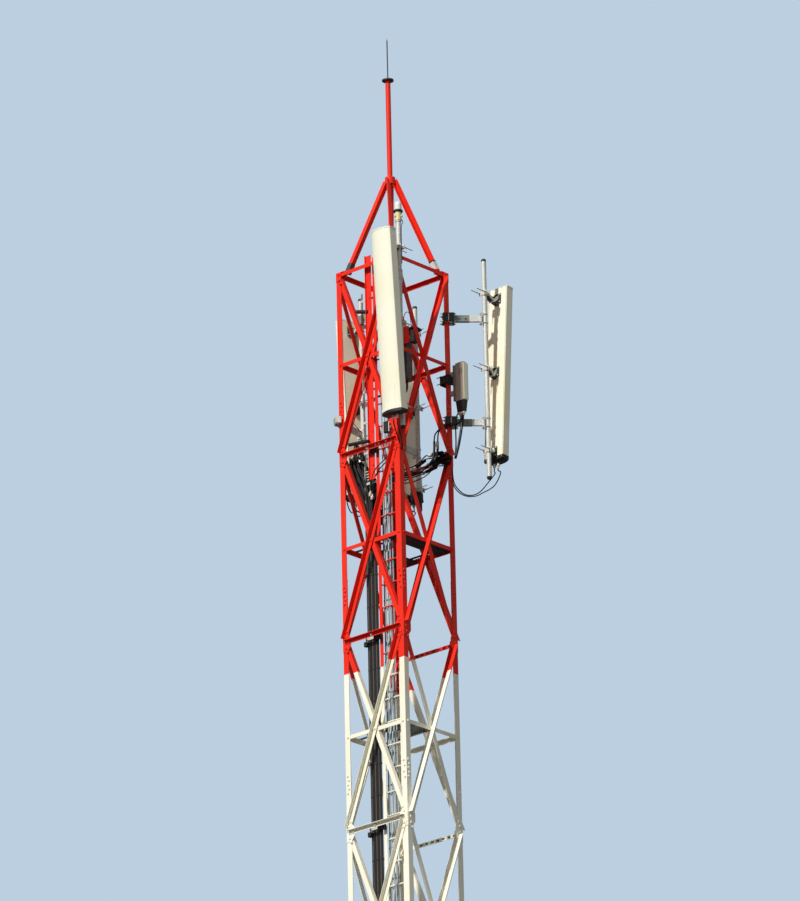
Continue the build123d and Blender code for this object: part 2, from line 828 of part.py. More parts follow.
def feeders_right():
    """Two feeders across the tower to the right corner, each with a thinner cable from its
    end out to the radio unit.
    """
    x, y = radio_right_x, radio_right_y
    low = -radio_right_below_ring - radio_right_height - radio_cover_height
    cables = []
    for index, shift in ((feeder_count - 2, -1), (feeder_count - 1, 1)):
        side = shift * feeder_pitch / 2
        route = [
            (feeder_x(index), feeder_y, -3200),
            (20 + side, -150, -2760 - side),
            (150 - side, 280 - side, -2620 - side),
            (340 - side, 335 - side, -2500 - side),
            (356 - side, 352 - side, -2340),
            (356 - side, 352 - side, -2240),
        ]
        cables.append(feeder(index, route))
        near = shift * jumper_pitch / 2
        jumper = [
            (356 - side, 352 - side, -2240),
            (360 - side, 356 - side, -2150),
            (405 - near, 374 + near, -2070),
            (490, 386 + near, -2045 - near),
            (585, 430 + near, -2055 - near),
            (650 + near, 485, -2030),
            (x + near, y, -1960),
            (x + near, y, low - cable_clearance),
        ]
        points = [(px, py, ring_z + pz) for px, py, pz in jumper]
        cables.append(cable(points, jumper_diameter, control_sides))
    return cables


def save_group(solids, name):
    save(Compound(children=list(solids)), name)


os.makedirs("parts", exist_ok=True)
near_leg = leg()
for name, turn in corner_turns.items():
    save(Rot(0, 0, turn) * near_leg, "leg_" + name)
near_foot = base_plate()
save_group([Rot(0, 0, turn) * near_foot for turn in corner_turns.values()], "base_plates")
lower_levels = range(bay_count // 2)
upper_levels = range(bay_count // 2, bay_count)
for name, turn in turns.items():
    struts = name in ("front", "back")
    lower = bracing_section(lower_levels, struts, False)
    upper = bracing_section(upper_levels, struts, True)
    save_group([Rot(0, 0, turn) * bay for bay in lower], "bracing_" + name + "_lower")
    save_group([Rot(0, 0, turn) * bay for bay in upper], "bracing_" + name + "_upper")
save(spire(), "spire")
save(lightning_mast(), "lightning_mast")
save(lightning_needle(), "lightning_needle")
save(climbing_ladder(), "climbing_ladder")
save(cable_ladder(), "cable_ladder")
save_group(feeders_left(), "feeders_left")
save_group(feeders_right(), "feeders_right")
save(feeder_inner(), "feeder_inner")
save_group(control_cables(), "control_cables")
upper = platform(upper_platform_bay_count, upper_platform_width, upper_platform_depth)
lower = platform(lower_platform_bay_count, lower_platform_width, lower_platform_depth)
save(upper, "platform_upper")
save(lower, "platform_lower")
save(radio_unit_right(), "radio_unit_right")
save(radio_unit_inner(), "radio_unit_inner")
save(lamp_body(), "lamp_body")
save(lamp_dome(), "lamp_dome")
for name, corner, antenna, arms in (
    ("front", "near", antenna_front, arms_front),
    ("right", "right", antenna_right, arms_right),
    ("back", "far", antenna_back, arms_back),
    ("left", "left", antenna_left, arms_left),
):
    placed = hung_from(corner, antenna)
    save(radome(placed), "antenna_" + name)
    save(end_caps(placed), "antenna_" + name + "_caps")
    save(antenna_mount(placed, arms), "antenna_" + name + "_mount")
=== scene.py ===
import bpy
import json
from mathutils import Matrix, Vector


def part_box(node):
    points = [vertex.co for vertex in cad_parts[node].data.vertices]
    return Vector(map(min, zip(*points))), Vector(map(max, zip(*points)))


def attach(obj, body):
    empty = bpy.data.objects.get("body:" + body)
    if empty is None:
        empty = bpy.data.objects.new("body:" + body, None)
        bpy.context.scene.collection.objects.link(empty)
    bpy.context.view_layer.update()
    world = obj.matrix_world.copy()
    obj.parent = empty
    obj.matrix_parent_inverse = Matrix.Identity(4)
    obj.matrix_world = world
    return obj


bl_info = {
    "name": "Lattice Cell Tower",
    "version": (1, 1, 0),
    "blender": (4, 5, 0),
    "location": "View3D > Sidebar > Cell Tower",
    "description": "Finishes and small fittings of a lattice cell tower on its solid frame",
    "category": "Object",
}

import json
import math
import random

import bmesh
import bpy
from bpy.props import FloatProperty, FloatVectorProperty, IntProperty, PointerProperty
from mathutils import Matrix, Vector

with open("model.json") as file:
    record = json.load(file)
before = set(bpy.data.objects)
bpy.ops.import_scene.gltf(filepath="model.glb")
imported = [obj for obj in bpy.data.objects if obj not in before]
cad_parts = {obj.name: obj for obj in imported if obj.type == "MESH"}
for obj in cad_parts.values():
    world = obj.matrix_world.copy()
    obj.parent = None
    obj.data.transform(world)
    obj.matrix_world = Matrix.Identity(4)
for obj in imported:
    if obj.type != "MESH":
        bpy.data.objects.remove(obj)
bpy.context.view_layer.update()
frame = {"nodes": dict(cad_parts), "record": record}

# Corners of the nodes' boxes in metres, read from the frame. The origin is under the near leg.
near_low, near_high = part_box("leg_near")
left_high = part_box("leg_left")[1]
far_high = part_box("leg_far")[1]
needle_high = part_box("lightning_needle")[1]
radio_low, radio_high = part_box("radio_unit_right")
inner_low, inner_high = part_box("radio_unit_inner")
lamp_low, lamp_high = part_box("lamp_body")
dome_low, dome_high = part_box("lamp_dome")
platform_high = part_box("platform_upper")[1]
AXIS = Vector(((near_low.x + left_high.x) / 2, (near_low.y + far_high.y) / 2, 0))
UP = Vector((0, 0, 1))
FRONT = Vector((0, -1, 0))
ROOT = "root"
FACE_TURNS = (0, 90, 180, 270)

# Steel sections and places of the lattice
LEG_SIZE = 0.08
LEG_THICK = 0.008
GUSSET_THICK = 0.006
BAR_THICK = 0.006
STRUT_SIZE = 0.05
PLATE_THICK = 0.02
HALF = near_high.x - GUSSET_THICK - AXIS.x
FOOT_HEIGHT = 0.15
BAY_HEIGHT = 2.46
BAY_COUNT = 6
RING_Z = FOOT_HEIGHT + BAY_COUNT * BAY_HEIGHT
BRACE_REACH = HALF - 0.04
BRACE_END_GAP = 0.042
CORNERS = {"near": (1, -1), "right": (1, 1), "far": (-1, 1), "left": (-1, -1)}

# Cable ladder and feeders
FEEDER_DIAMETER = 0.028
FEEDER_PITCH = 0.0305
FEEDER_LEFT = -0.166
FEEDER_COUNT = 6
FEEDER_Y = -HALF + 0.1
TRAY_RUNG_PITCH = 0.41

# Panels, poles and what holds them
POLE_RADIUS = 0.03
PANEL_WIDTH = 0.31
PANEL_SIDE_DEPTH = 0.11
PANEL_SEAT = 0.06
PANEL_CAP_LOW = 0.045
PORT_PITCH = 0.064
PORT_LENGTH = 0.032
CLAMP_PLATE = 0.01
CLAMP_BOLT_X = 0.048
BRACKET_LOW = 0.06
BRACKET_HIGH = 0.14
NOTCH_OUT = 0.05
ARM_DEPTH = 0.08
ARM_THICK = 0.04

# Radio unit at the right leg: its case, without the cover below
RADIO_CASE_WIDTH = 0.135
RADIO_CASE_HEIGHT = 0.51

# Bolts and nuts: shares of the thread's diameter, and the washer and bevels in metres
WASHER_RADIUS = 1.05
HEX_RADIUS = 0.92
HEX_CROWN = 0.86
HEAD_HEIGHT = 0.62
NUT_HEIGHT = 0.8
THREAD_TIP = 0.4
WASHER_THICK = 0.0025
HEX_BEVEL = 0.0015
THREAD_BEVEL = 0.002

# Bevel of cut steel
BEVEL = 0.002


def linear(red, green, blue):
    """Linear colour of a display colour given from 0 to 255."""
    return tuple((channel / 255) ** 2.2 for channel in (red, green, blue))


# What all colours, and all shares from none to full, have in common
COLOR = {"subtype": "COLOR", "min": 0.0, "max": 1.0}
SHARE = {"subtype": "FACTOR", "min": 0.0, "max": 1.0}


class TowerPaint(bpy.types.PropertyGroup):
    """Colours and wear of the tower's finishes."""

    red: FloatVectorProperty(
        name="Red", description="Aviation red of the top and foot bands",
        default=linear(244, 50, 32), **COLOR,
    )
    white: FloatVectorProperty(
        name="White", description="Aviation white of the middle band",
        default=linear(250, 247, 229), **COLOR,
    )
    radome: FloatVectorProperty(
        name="Radome", description="Plastic of the antenna covers",
        default=linear(253, 250, 226), **COLOR,
    )
    casing: FloatVectorProperty(
        name="Casing", description="Paint of the radio units",
        default=linear(176, 166, 150), **COLOR,
    )
    rust: FloatProperty(
        name="Rust", description="How much rust shows through the paint",
        default=0.3, **SHARE,
    )
    dirt: FloatProperty(
        name="Dirt", description="Strength of the dark runs below joints",
        default=0.22, **SHARE,
    )
    top_band: FloatProperty(
        name="Top band", description="Height of the lower edge of the top red band",
        default=9.58, min=1.0, unit="LENGTH",
    )
    band_height: FloatProperty(
        name="Band height", description="Height of the white band below it",
        default=5.33, min=0.5, unit="LENGTH",
    )


class TowerSizes(bpy.types.PropertyGroup):
    """Sizes of the small fittings."""

    bolt_diameter: FloatProperty(
        name="Bolt diameter", description="Thread diameter of the lattice bolts",
        default=0.016, min=0.004, unit="LENGTH",
    )
    anchor_diameter: FloatProperty(
        name="Anchor diameter", description="Thread diameter of the anchor bolts",
        default=0.024, min=0.008, unit="LENGTH",
    )
    front_splice_bolts: IntProperty(
        name="Front splice bolts", description="Bolts of a leg splice on the front flange",
        default=4, min=2, max=8,
    )
    side_splice_bolts: IntProperty(
        name="Side splice bolts", description="Bolts of a leg splice on the other flange",
        default=5, min=2, max=8,
    )
    thread_tail: FloatProperty(
        name="Thread tail", description="Length of the long clamp bolts behind a pole's axis",
        default=0.2, min=0.1, unit="LENGTH",
    )
    jumper_diameter: FloatProperty(
        name="Jumper diameter", description="Diameter of the flexible cables to the antennas",
        default=0.014, min=0.004, unit="LENGTH",
    )


class TowerStage(bpy.types.PropertyGroup):
    """Camera, lamps and floor."""

    distance: FloatProperty(
        name="Distance", description="Camera distance from the point it turns about",
        default=86.445, min=5.0, unit="LENGTH",
    )
    lens: FloatProperty(
        name="Lens", description="Focal length on a 36 mm long side",
        default=274.84, min=20.0, subtype="DISTANCE_CAMERA",
    )
    floor_radius: FloatProperty(
        name="Floor radius", description="Radius of the round floor",
        default=5.0, min=2.0, unit="LENGTH",
    )
    backdrop: FloatVectorProperty(
        name="Backdrop", description="Plain pale background",
        default=linear(186, 206, 224), **COLOR,
    )
    key_strength: FloatProperty(
        name="Key strength", description="Strength of the high lamp in front",
        default=3.4, min=0.0,
    )
    fill_strength: FloatProperty(
        name="Fill strength", description="Light from all round",
        default=0.3, min=0.0,
    )


class Value:
    """An output socket that does arithmetic by adding Math nodes."""

    def __init__(self, graph, socket):
        self.graph = graph
        self.socket = socket

    def math(self, operation, *others):
        inputs = {index: item for index, item in enumerate(others)}
        return self.graph.node("ShaderNodeMath", {"operation": operation}, inputs)

    def __add__(self, other):
        return self.math("ADD", self, other)

    __radd__ = __add__

    def __sub__(self, other):
        return self.math("SUBTRACT", self, other)

    def __rsub__(self, other):
        return self.math("SUBTRACT", other, self)

    def __mul__(self, other):
        return self.math("MULTIPLY", self, other)

    __rmul__ = __mul__

    def __truediv__(self, other):
        return self.math("DIVIDE", self, other)

    def __mod__(self, other):
        return self.math("FLOORED_MODULO", self, other)

    def __gt__(self, other):
        return self.math("GREATER_THAN", self, other)

    def __lt__(self, other):
        return self.math("LESS_THAN", self, other)

    def above(self, low, high):
        """0 below low and 1 above high, with a smooth step between."""
        settings = {"interpolation_type": "SMOOTHSTEP"}
        return self.graph.node("ShaderNodeMapRange", settings, {0: self, 1: low, 2: high})


class Graph:
    """Node tree of one finish or of the world."""

    def __init__(self, owner):
        owner.use_nodes = True
        self.owner = owner
        self.tree = owner.node_tree
        self.tree.nodes.clear()

    def node(self, kind, settings=None, inputs=None, output=0):
        """Add a node with its settings and inputs, and give one of its outputs."""
        made = self.tree.nodes.new(kind)
        for key, value in (settings or {}).items():
            setattr(made, key, value)
        for key, value in (inputs or {}).items():
            if isinstance(value, Value):
                self.tree.links.new(value.socket, made.inputs[key])
            else:
                made.inputs[key].default_value = value
        if not made.outputs:
            return None
        return Value(self, made.outputs[output])

    def axis(self, vector, name):
        """One part of a vector."""
        return self.node("ShaderNodeSeparateXYZ", inputs={0: vector}, output=name)

    def noise(self, vector, scale, detail=4.0, roughness=0.55):
        """Cloudy pattern from 0 to 1."""
        inputs = {"Vector": vector, "Scale": scale, "Detail": detail, "Roughness": roughness}
        return self.node("ShaderNodeTexNoise", None, inputs, "Fac")

    def streaks(self, vector, across, along, detail=5.0, roughness=0.55):
        """Cloudy pattern drawn out along Z, with a scale across it and one along it."""
        inputs = {0: vector, 1: (across, across, along)}
        stretched = self.node("ShaderNodeVectorMath", {"operation": "MULTIPLY"}, inputs)
        return self.noise(stretched, 1.0, detail, roughness)

    def mix(self, factor, first, second):
        """Colour mix; factor 0 gives the first."""
        settings = {"data_type": "RGBA", "clamp_factor": True}
        inputs = {0: factor, 6: self.solid(first), 7: self.solid(second)}
        return self.node("ShaderNodeMix", settings, inputs, 2)

    def solid(self, color):
        """Colour with an alpha of 1, or the colour that a socket gives."""
        if isinstance(color, Value):
            return color
        return (*color[:3], 1.0)

    def edge(self, width):
        """1 on edges sharper than the surface around them."""
        rounded = self.node("ShaderNodeBevel", {"samples": 4}, {"Radius": width})
        flat = self.node("ShaderNodeNewGeometry", output="Normal")
        settings = {"operation": "DOT_PRODUCT"}
        match = self.node("ShaderNodeVectorMath", settings, {0: rounded, 1: flat}, "Value")
        return (1 - match).above(0.02, 0.25)

    def bump(self, height, distance, strength):
        """Normal of a surface with small relief."""
        inputs = {"Height": height, "Distance": distance, "Strength": strength}
        return self.node("ShaderNodeBump", None, inputs)

    def surface(self, color, roughness, metallic=0.0, normal=None, **fixed):
        """Principled surface; fixed holds sockets that are the same all over."""
        inputs = {"Base Color": self.solid(color), "Roughness": roughness, "Metallic": metallic}
        if normal is not None:
            inputs["Normal"] = normal
        inputs.update({key.replace("_", " "): value for key, value in fixed.items()})
        shader = self.node("ShaderNodeBsdfPrincipled", None, inputs)
        self.node("ShaderNodeOutputMaterial", None, {"Surface": shader})
        return self.owner


def new_graph(name):
    """Empty node tree of a new material, and the place on the piece in metres from the origin."""
    g = Graph(bpy.data.materials.new(name))
    return g, g.node("ShaderNodeTexCoord", output="Object")


def banded_coat(g, place):
    """Colour, roughness and relief of the tower's paint in red and white bands."""
    paint = bpy.context.scene.tower_paint
    height = g.axis(place, "Z")
    fade = g.noise(place, 0.9, 3.0)
    brush = g.streaks(place, 60, 5)
    runs = g.streaks(place, 34, 1.1, 6.0, 0.6)
    grime = g.noise(place, 7.0, 6.0, 0.65)
    pits = g.noise(place, 46.0, 5.0, 0.6)
    level = height + (g.noise(place, 9.0) - 0.5) * 0.03
    red_part = (level > paint.top_band) + (level < paint.top_band - paint.band_height)
    faded_red = (paint.red[0], paint.red[1] * 1.9, paint.red[2] * 2.4)
    deep_red = (paint.red[0] * 0.84, paint.red[1] * 0.5, paint.red[2] * 0.6)
    red = g.mix(fade.above(0.42, 0.72) * 0.6, paint.red, faded_red)
    red = g.mix(brush.above(0.45, 0.75) * 0.3, red, deep_red)
    yellowed = (paint.white[0] * 0.95, paint.white[1] * 0.91, paint.white[2] * 0.78)
    white = g.mix(fade.above(0.4, 0.7) * 0.6, paint.white, yellowed)
    coat = g.mix(red_part, white, red)
    run_mask = runs.above(0.58, 0.8) * paint.dirt
    coat = g.mix(run_mask + grime.above(0.62, 0.82) * paint.dirt * 0.5, coat, (0.13, 0.09, 0.06))
    worn = g.edge(0.003) * pits.above(0.47, 0.56)
    zinc = g.mix(grime, (0.34, 0.34, 0.33), (0.5, 0.5, 0.48))
    coat = g.mix(worn * 0.5, coat, zinc)
    rust_mask = (pits * 0.6 + grime * 0.4).above(0.62, 0.7) * paint.rust
    coat = g.mix(rust_mask, coat, g.mix(pits, (0.16, 0.045, 0.012), (0.36, 0.13, 0.035)))
    roughness = 0.36 + 0.22 * grime + 0.25 * rust_mask
    relief = brush * 0.5 + pits * 0.3 - rust_mask * 0.4
    return coat, roughness, relief


def tower_paint():
    """Brushed aviation paint in bands, with runs of dirt, rust and chipped edges."""
    g, place = new_graph("banded_tower_paint")
    coat, roughness, relief = banded_coat(g, place)
    normal = g.bump(relief, 0.0012, 0.6)
    fixed = {"Coat_Weight": 0.04, "Specular_IOR_Level": 0.2}
    return g.surface(coat, roughness, 0.0, normal, **fixed)


def tread_paint():
    """Tower paint on perforated plate: round holes, and between them near-black painted shade of the
    platforms' undersides with trodden wear.
    """
    hole_pitch = 0.03
    hole_radius = 0.009
    g, place = new_graph("tread_plate_paint_and_shade")
    coat, roughness, relief = banded_coat(g, place)
    across = (g.axis(place, "X") % hole_pitch) - hole_pitch / 2
    along = (g.axis(place, "Y") % hole_pitch) - hole_pitch / 2
    solid = (across * across + along * along) > hole_radius**2
    trodden = g.noise(place, 12.0, 5.0).above(0.42, 0.66)
    # Painted shade: the whole plate is darkened almost to black to stand for the shade under the
    # platforms; trodden patches darken it a little more as wear.
    coat = g.mix(0.75 + 0.2 * trodden, coat, (0.022, 0.016, 0.015))
    return g.surface(coat, roughness, 0.0, g.bump(relief, 0.0012, 0.6), Alpha=solid)


def galvanised():
    """Hot-dip zinc with spangle, streaks and a little rust."""
    g, place = new_graph("galvanised_steel")
    spangle = g.node(
        "ShaderNodeTexVoronoi", None, {"Vector": place, "Scale": 70.0, "Randomness": 1.0}, "Color"
    )
    tone = g.axis(spangle, "X")
    grime = g.noise(place, 11.0, 6.0, 0.6)
    runs = g.streaks(place, 40, 2.5)
    zinc = g.mix(tone, (0.56, 0.57, 0.52), (0.76, 0.76, 0.7))
    zinc = g.mix(runs.above(0.52, 0.8) * 0.4, zinc, (0.36, 0.33, 0.26))
    rust_mask = grime.above(0.66, 0.78) * 0.5
    color = g.mix(rust_mask, zinc, (0.27, 0.11, 0.04))
    roughness = 0.45 + 0.2 * grime + 0.08 * tone
    metallic = 0.25 - 0.2 * rust_mask
    return g.surface(color, roughness, metallic, g.bump(tone + grime, 0.0006, 0.4))


def dull_zinc_and_painted_shade():
    """Darker zinc with a green-grey cast: on the arm sleeves and the radome seam lines it is painted
    shade, and on threads and small plates it is their own colour.
    """
    g, place = new_graph("dull_zinc_and_painted_shade")
    grime = g.noise(place, 14.0, 6.0, 0.6)
    runs = g.streaks(place, 30, 4)
    color = g.mix(grime, (0.16, 0.18, 0.16), (0.3, 0.33, 0.3))
    color = g.mix(runs.above(0.55, 0.8) * 0.5, color, (0.1, 0.08, 0.06))
    return g.surface(color, 0.5 + 0.2 * grime, 0.3, g.bump(grime, 0.0006, 0.4))


def black_steel_and_painted_shade():
    """Black-painted clamp steel with brown rust on its edges; on the leg clamps and tread boards its
    black is partly painted shade.
    """
    g, place = new_graph("black_steel_and_painted_shade")
    grime = g.noise(place, 20.0, 6.0, 0.6)
    color = g.mix(grime, (0.012, 0.012, 0.014), (0.045, 0.042, 0.04))
    rust_mask = g.edge(0.003) * grime.above(0.5, 0.6)
    color = g.mix(rust_mask * 0.5, color, (0.16, 0.07, 0.03))
    return g.surface(color, 0.5 + 0.25 * grime, 0.2, g.bump(grime, 0.0008, 0.5))


def bright_zinc():
    """Bright plated bolts, washers and U-bolts."""
    g, place = new_graph("bright_zinc")
    tarnish = g.noise(place, 60.0, 5.0)
    color = g.mix(tarnish.above(0.4, 0.8), (0.72, 0.72, 0.69), (0.42, 0.4, 0.34))
    return g.surface(color, 0.3 + 0.25 * tarnish, 0.6, g.bump(tarnish, 0.0004, 0.3))


def connector_plating():
    """White-bronze plating and cream boots of the cable connectors."""
    g, place = new_graph("connector_plating")
    tarnish = g.noise(place, 40.0, 5.0)
    color = g.mix(tarnish.above(0.45, 0.75), (0.8, 0.76, 0.64), (0.52, 0.46, 0.34))
    return g.surface(color, 0.35 + 0.2 * tarnish, 0.25, g.bump(tarnish, 0.0004, 0.3))


def radome():
    """Glass-fibre cover, warm white, with faint runs and fine grain."""
    paint = bpy.context.scene.tower_paint
    g, place = new_graph("radome_plastic")
    fade = g.noise(place, 1.6, 4.0)
    runs = g.streaks(place, 26, 1.3, 6.0, 0.6)
    grain = g.noise(place, 320.0, 3.0)
    aged = (paint.radome[0] * 0.94, paint.radome[1] * 0.9, paint.radome[2] * 0.78)
    color = g.mix(fade.above(0.38, 0.68) * 0.6, paint.radome, aged)
    color = g.mix(runs.above(0.58, 0.84) * 0.22, color, (0.42, 0.38, 0.28))
    roughness = 0.42 + 0.2 * runs
    return g.surface(color, roughness, 0.0, g.bump(grain, 0.0004, 0.5), Coat_Weight=0.08)


def black_plastic():
    """Moulded black plastic with dusty patches."""
    g, place = new_graph("black_plastic")
    grain = g.noise(place, 260.0, 4.0)
    dust = g.noise(place, 18.0, 5.0)
    color = g.mix(dust.above(0.5, 0.8) * 0.5, (0.01, 0.01, 0.011), (0.05, 0.045, 0.04))
    return g.surface(color, 0.45 + 0.25 * dust, 0.0, g.bump(grain, 0.0005, 0.6))


def cap_plastic():
    """End caps of the antennas: cream on top, black below."""
    paint = bpy.context.scene.tower_paint
    g, place = new_graph("cap_plastic")
    grain = g.noise(place, 260.0, 4.0)
    dust = g.noise(place, 18.0, 5.0)
    black = g.mix(dust.above(0.5, 0.8) * 0.5, (0.006, 0.006, 0.007), (0.03, 0.027, 0.025))
    cream = g.mix(dust.above(0.4, 0.8) * 0.4, paint.radome, (0.55, 0.5, 0.38))
    color = g.mix(g.axis(place, "Z") > RING_Z - 1.3, black, cream)
    return g.surface(color, 0.45 + 0.2 * dust, 0.0, g.bump(grain, 0.0005, 0.6))


def cable_jacket():
    """Black polyethylene jacket, greyed where the sun has reached it."""
    g, place = new_graph("cable_jacket")
    chalk = g.streaks(place, 30, 3)
    grain = g.noise(place, 400.0, 3.0)
    color = g.mix(chalk.above(0.48, 0.8) * 0.6, (0.003, 0.003, 0.004), (0.022, 0.019, 0.018))
    relief = g.bump(grain, 0.0003, 0.5)
    return g.surface(color, 0.4 + 0.3 * chalk, 0.0, relief, Specular_IOR_Level=0.25)


def feeder_jacket():
    """Feeder jackets with brown painted highlights on the lit side of every other cable, and black
    painted shade between pairs and at the top.
    """
    g, place = new_graph("feeder_jacket")
    # Painted light: a brown stripe on every other cable stands for its sunlit side, with chalk streaks in
    # it; the black between the stripes stands for the shade between cables, and the stripes fade out at
    # the top, where the cables lie in shade.
    pair = 2 * FEEDER_PITCH
    across = ((g.axis(place, "X") - (AXIS.x + FEEDER_LEFT - FEEDER_PITCH / 2)) % pair) / pair
    shaded = g.axis(place, "Z").above(RING_Z - 3.7, RING_Z - 3.3)
    painted_highlight = across.above(0.3, 0.42) * (1 - across.above(0.52, 0.66)) * (1 - 0.85 * shaded)
    chalk = g.streaks(place, 30, 2)
    grain = g.noise(place, 400.0, 3.0)
    color = g.mix(painted_highlight * (0.35 + 0.65 * chalk), (0.006, 0.006, 0.006), (0.17, 0.13, 0.105))
    return g.surface(color, 0.3 + 0.3 * chalk, 0.0, g.bump(grain, 0.0003, 0.5))


def pale_jacket():
    """Grey jackets of the thin control cables, one a little bluer than the next."""
    cable_pitch = 0.046
    g, place = new_graph("pale_jacket")
    along = g.streaks(place, 20, 2, 4.0)
    row = (g.axis(place, "X") % (2 * cable_pitch)) > cable_pitch
    color = g.mix(row, (0.46, 0.5, 0.5), (0.22, 0.3, 0.36))
    color = g.mix(along.above(0.45, 0.75) * 0.6, color, (0.66, 0.66, 0.58))
    return g.surface(color, 0.4 + 0.2 * along, 0.0, g.bump(along, 0.0004, 0.4))


def tie_plastic():
    """White nylon of the cable ties, yellowed in places."""
    g, place = new_graph("tie_plastic")
    age = g.noise(place, 25.0, 4.0)
    color = g.mix(age.above(0.4, 0.7), (0.8, 0.78, 0.7), (0.62, 0.56, 0.42))
    return g.surface(color, 0.4 + 0.2 * age, 0.0, g.bump(age, 0.0003, 0.3))


def lamp_lens():
    """Opal dome, glossy and slightly dusty."""
    g, place = new_graph("lamp_lens")
    dust = g.noise(place, 30.0, 5.0)
    color = g.mix(dust.above(0.45, 0.8) * 0.4, (0.88, 0.88, 0.84), (0.66, 0.62, 0.5))
    return g.surface(color, 0.12 + 0.3 * dust, 0.0, None, Coat_Weight=0.6)


def lamp_paint():
    """Cream enamel of the lamp socket."""
    g, place = new_graph("lamp_paint")
    grime = g.noise(place, 26.0, 6.0)
    runs = g.streaks(place, 70, 9)
    color = g.mix(grime.above(0.5, 0.8) * 0.5, (0.8, 0.68, 0.34), (0.55, 0.42, 0.18))
    color = g.mix(runs.above(0.6, 0.8) * 0.5, color, (0.2, 0.13, 0.06))
    return g.surface(color, 0.35 + 0.25 * grime, 0.0, g.bump(grime, 0.0005, 0.4))


def casing():
    """Powder-coated aluminium of the radio units, black on the cover below."""
    paint = bpy.context.scene.tower_paint
    g, place = new_graph("casing_paint")
    grain = g.noise(place, 500.0, 2.0)
    runs = g.streaks(place, 40, 3)
    soiled = tuple(0.72 * channel for channel in paint.casing)
    color = g.mix(runs.above(0.5, 0.8) * 0.5, paint.casing, soiled)
    cover = g.axis(place, "Z") < radio_high.z - RADIO_CASE_HEIGHT
    outside = g.axis(place, "X") > AXIS.x + HALF
    color = g.mix(cover * outside, color, (0.014, 0.013, 0.013))
    return g.surface(color, 0.45 + 0.2 * runs, 0.0, g.bump(grain, 0.0003, 0.5))


def heat_sink():
    """Blue-grey finned casting of the inner radio unit."""
    g, place = new_graph("heat_sink")
    grime = g.noise(place, 20.0, 5.0)
    color = g.mix(grime.above(0.4, 0.75), (0.13, 0.15, 0.17), (0.06, 0.065, 0.07))
    return g.surface(color, 0.5 + 0.2 * grime, 0.2, g.bump(grime, 0.0005, 0.4))


def needle_steel():
    """Dark weathered steel."""
    g, place = new_graph("needle_steel")
    tarnish = g.streaks(place, 90, 12)
    color = g.mix(tarnish, (0.03, 0.03, 0.035), (0.14, 0.13, 0.125))
    return g.surface(color, 0.4 + 0.3 * tarnish, 0.5, g.bump(tarnish, 0.0004, 0.5))


FINISH_MAKERS = {maker.__name__: maker for maker in (
    tower_paint, tread_paint, galvanised, dull_zinc_and_painted_shade, black_steel_and_painted_shade, bright_zinc, connector_plating,
    radome, black_plastic, cap_plastic, cable_jacket, feeder_jacket, pale_jacket, tie_plastic,
    lamp_lens, lamp_paint, casing, heat_sink, needle_steel,
)}
NODE_FINISHES = {
    "platform_upper": "tread_paint",
    "platform_lower": "tread_paint",
    "control_cables": "pale_jacket",
    "feeders_left": "feeder_jacket",
    "feeders_right": "feeder_jacket",
    "feeder_inner": "feeder_jacket",
    "radio_unit_inner": "heat_sink",
    **{"antenna_" + side + "_caps": "cap_plastic" for side in ("front", "right", "back", "left")},
}
finishes = {}


def finish(name):
    """Material of a finish, made the first time that it is asked for."""
    if name not in finishes:
        finishes[name] = FINISH_MAKERS[name]()
    return finishes[name]


def spot(x, y, z):
    """Point counted from the tower's axis and its top ring."""
    return AXIS + Vector((x, y, RING_Z + z))


def spin(degrees, axis="Z"):
    """Turn about an axis through the origin."""
    return Matrix.Rotation(math.radians(degrees), 4, axis)


def turn(degrees):
    """Turn about the tower's axis."""
    shift = Matrix.Translation(AXIS)
    return shift @ spin(degrees) @ shift.inverted()


def outward(point, direction):
    """Place at a point whose +Z points along a direction."""
    aim = Vector(direction).to_track_quat("Z", "Y").to_matrix().to_4x4()
    return Matrix.Translation(point) @ aim


def on_face(degrees, x, height, out):
    """Place on a face of the tower, seen as the front face, whose +Z points outwards."""
    point = Vector((AXIS.x + x, AXIS.y - out, height))
    return turn(degrees) @ outward(point, FRONT)


def rings(points, sides):
    """Faces between rings of points, closed at both ends."""
    count = len(points) // sides
    faces = [tuple(reversed(range(sides)))]
    for ring in range(count - 1):
        for index in range(sides):
            after = (index + 1) % sides
            low = ring * sides
            high = low + sides
            faces.append((low + index, low + after, high + after, high + index))
    top = (count - 1) * sides
    faces.append(tuple(top + index for index in range(sides)))
    return faces


def turned(profile, sides):
    """Shape turned about Z from (radius, height) points, closed at both ends."""
    points = []
    for radius, height in profile:
        for index in range(sides):
            angle = 2 * math.pi * index / sides
            points.append(Vector((radius * math.cos(angle), radius * math.sin(angle), height)))
    return points, rings(points, sides)


def hull(points):
    """Convex shape round a few points."""
    work = bmesh.new()
    for point in points:
        work.verts.new(point)
    bmesh.ops.convex_hull(work, input=work.verts[:])
    flat = math.radians(1)
    bmesh.ops.dissolve_limit(work, angle_limit=flat, verts=work.verts[:], edges=work.edges[:])
    work.verts.index_update()
    shape = (
        [vertex.co.copy() for vertex in work.verts],
        [tuple(vertex.index for vertex in face.verts) for face in work.faces],
    )
    work.free()
    return shape


def block(x, y, z, chamfer=0.0015):
    """Box about the origin with chamfered edges."""
    points = []
    for sx in (-0.5, 0.5):
        for sy in (-0.5, 0.5):
            for sz in (-0.5, 0.5):
                points.append((sx * (x - 2 * chamfer), sy * (y - 2 * chamfer), sz * z))
                points.append((sx * (x - 2 * chamfer), sy * y, sz * (z - 2 * chamfer)))
                points.append((sx * x, sy * (y - 2 * chamfer), sz * (z - 2 * chamfer)))
    return hull(points)


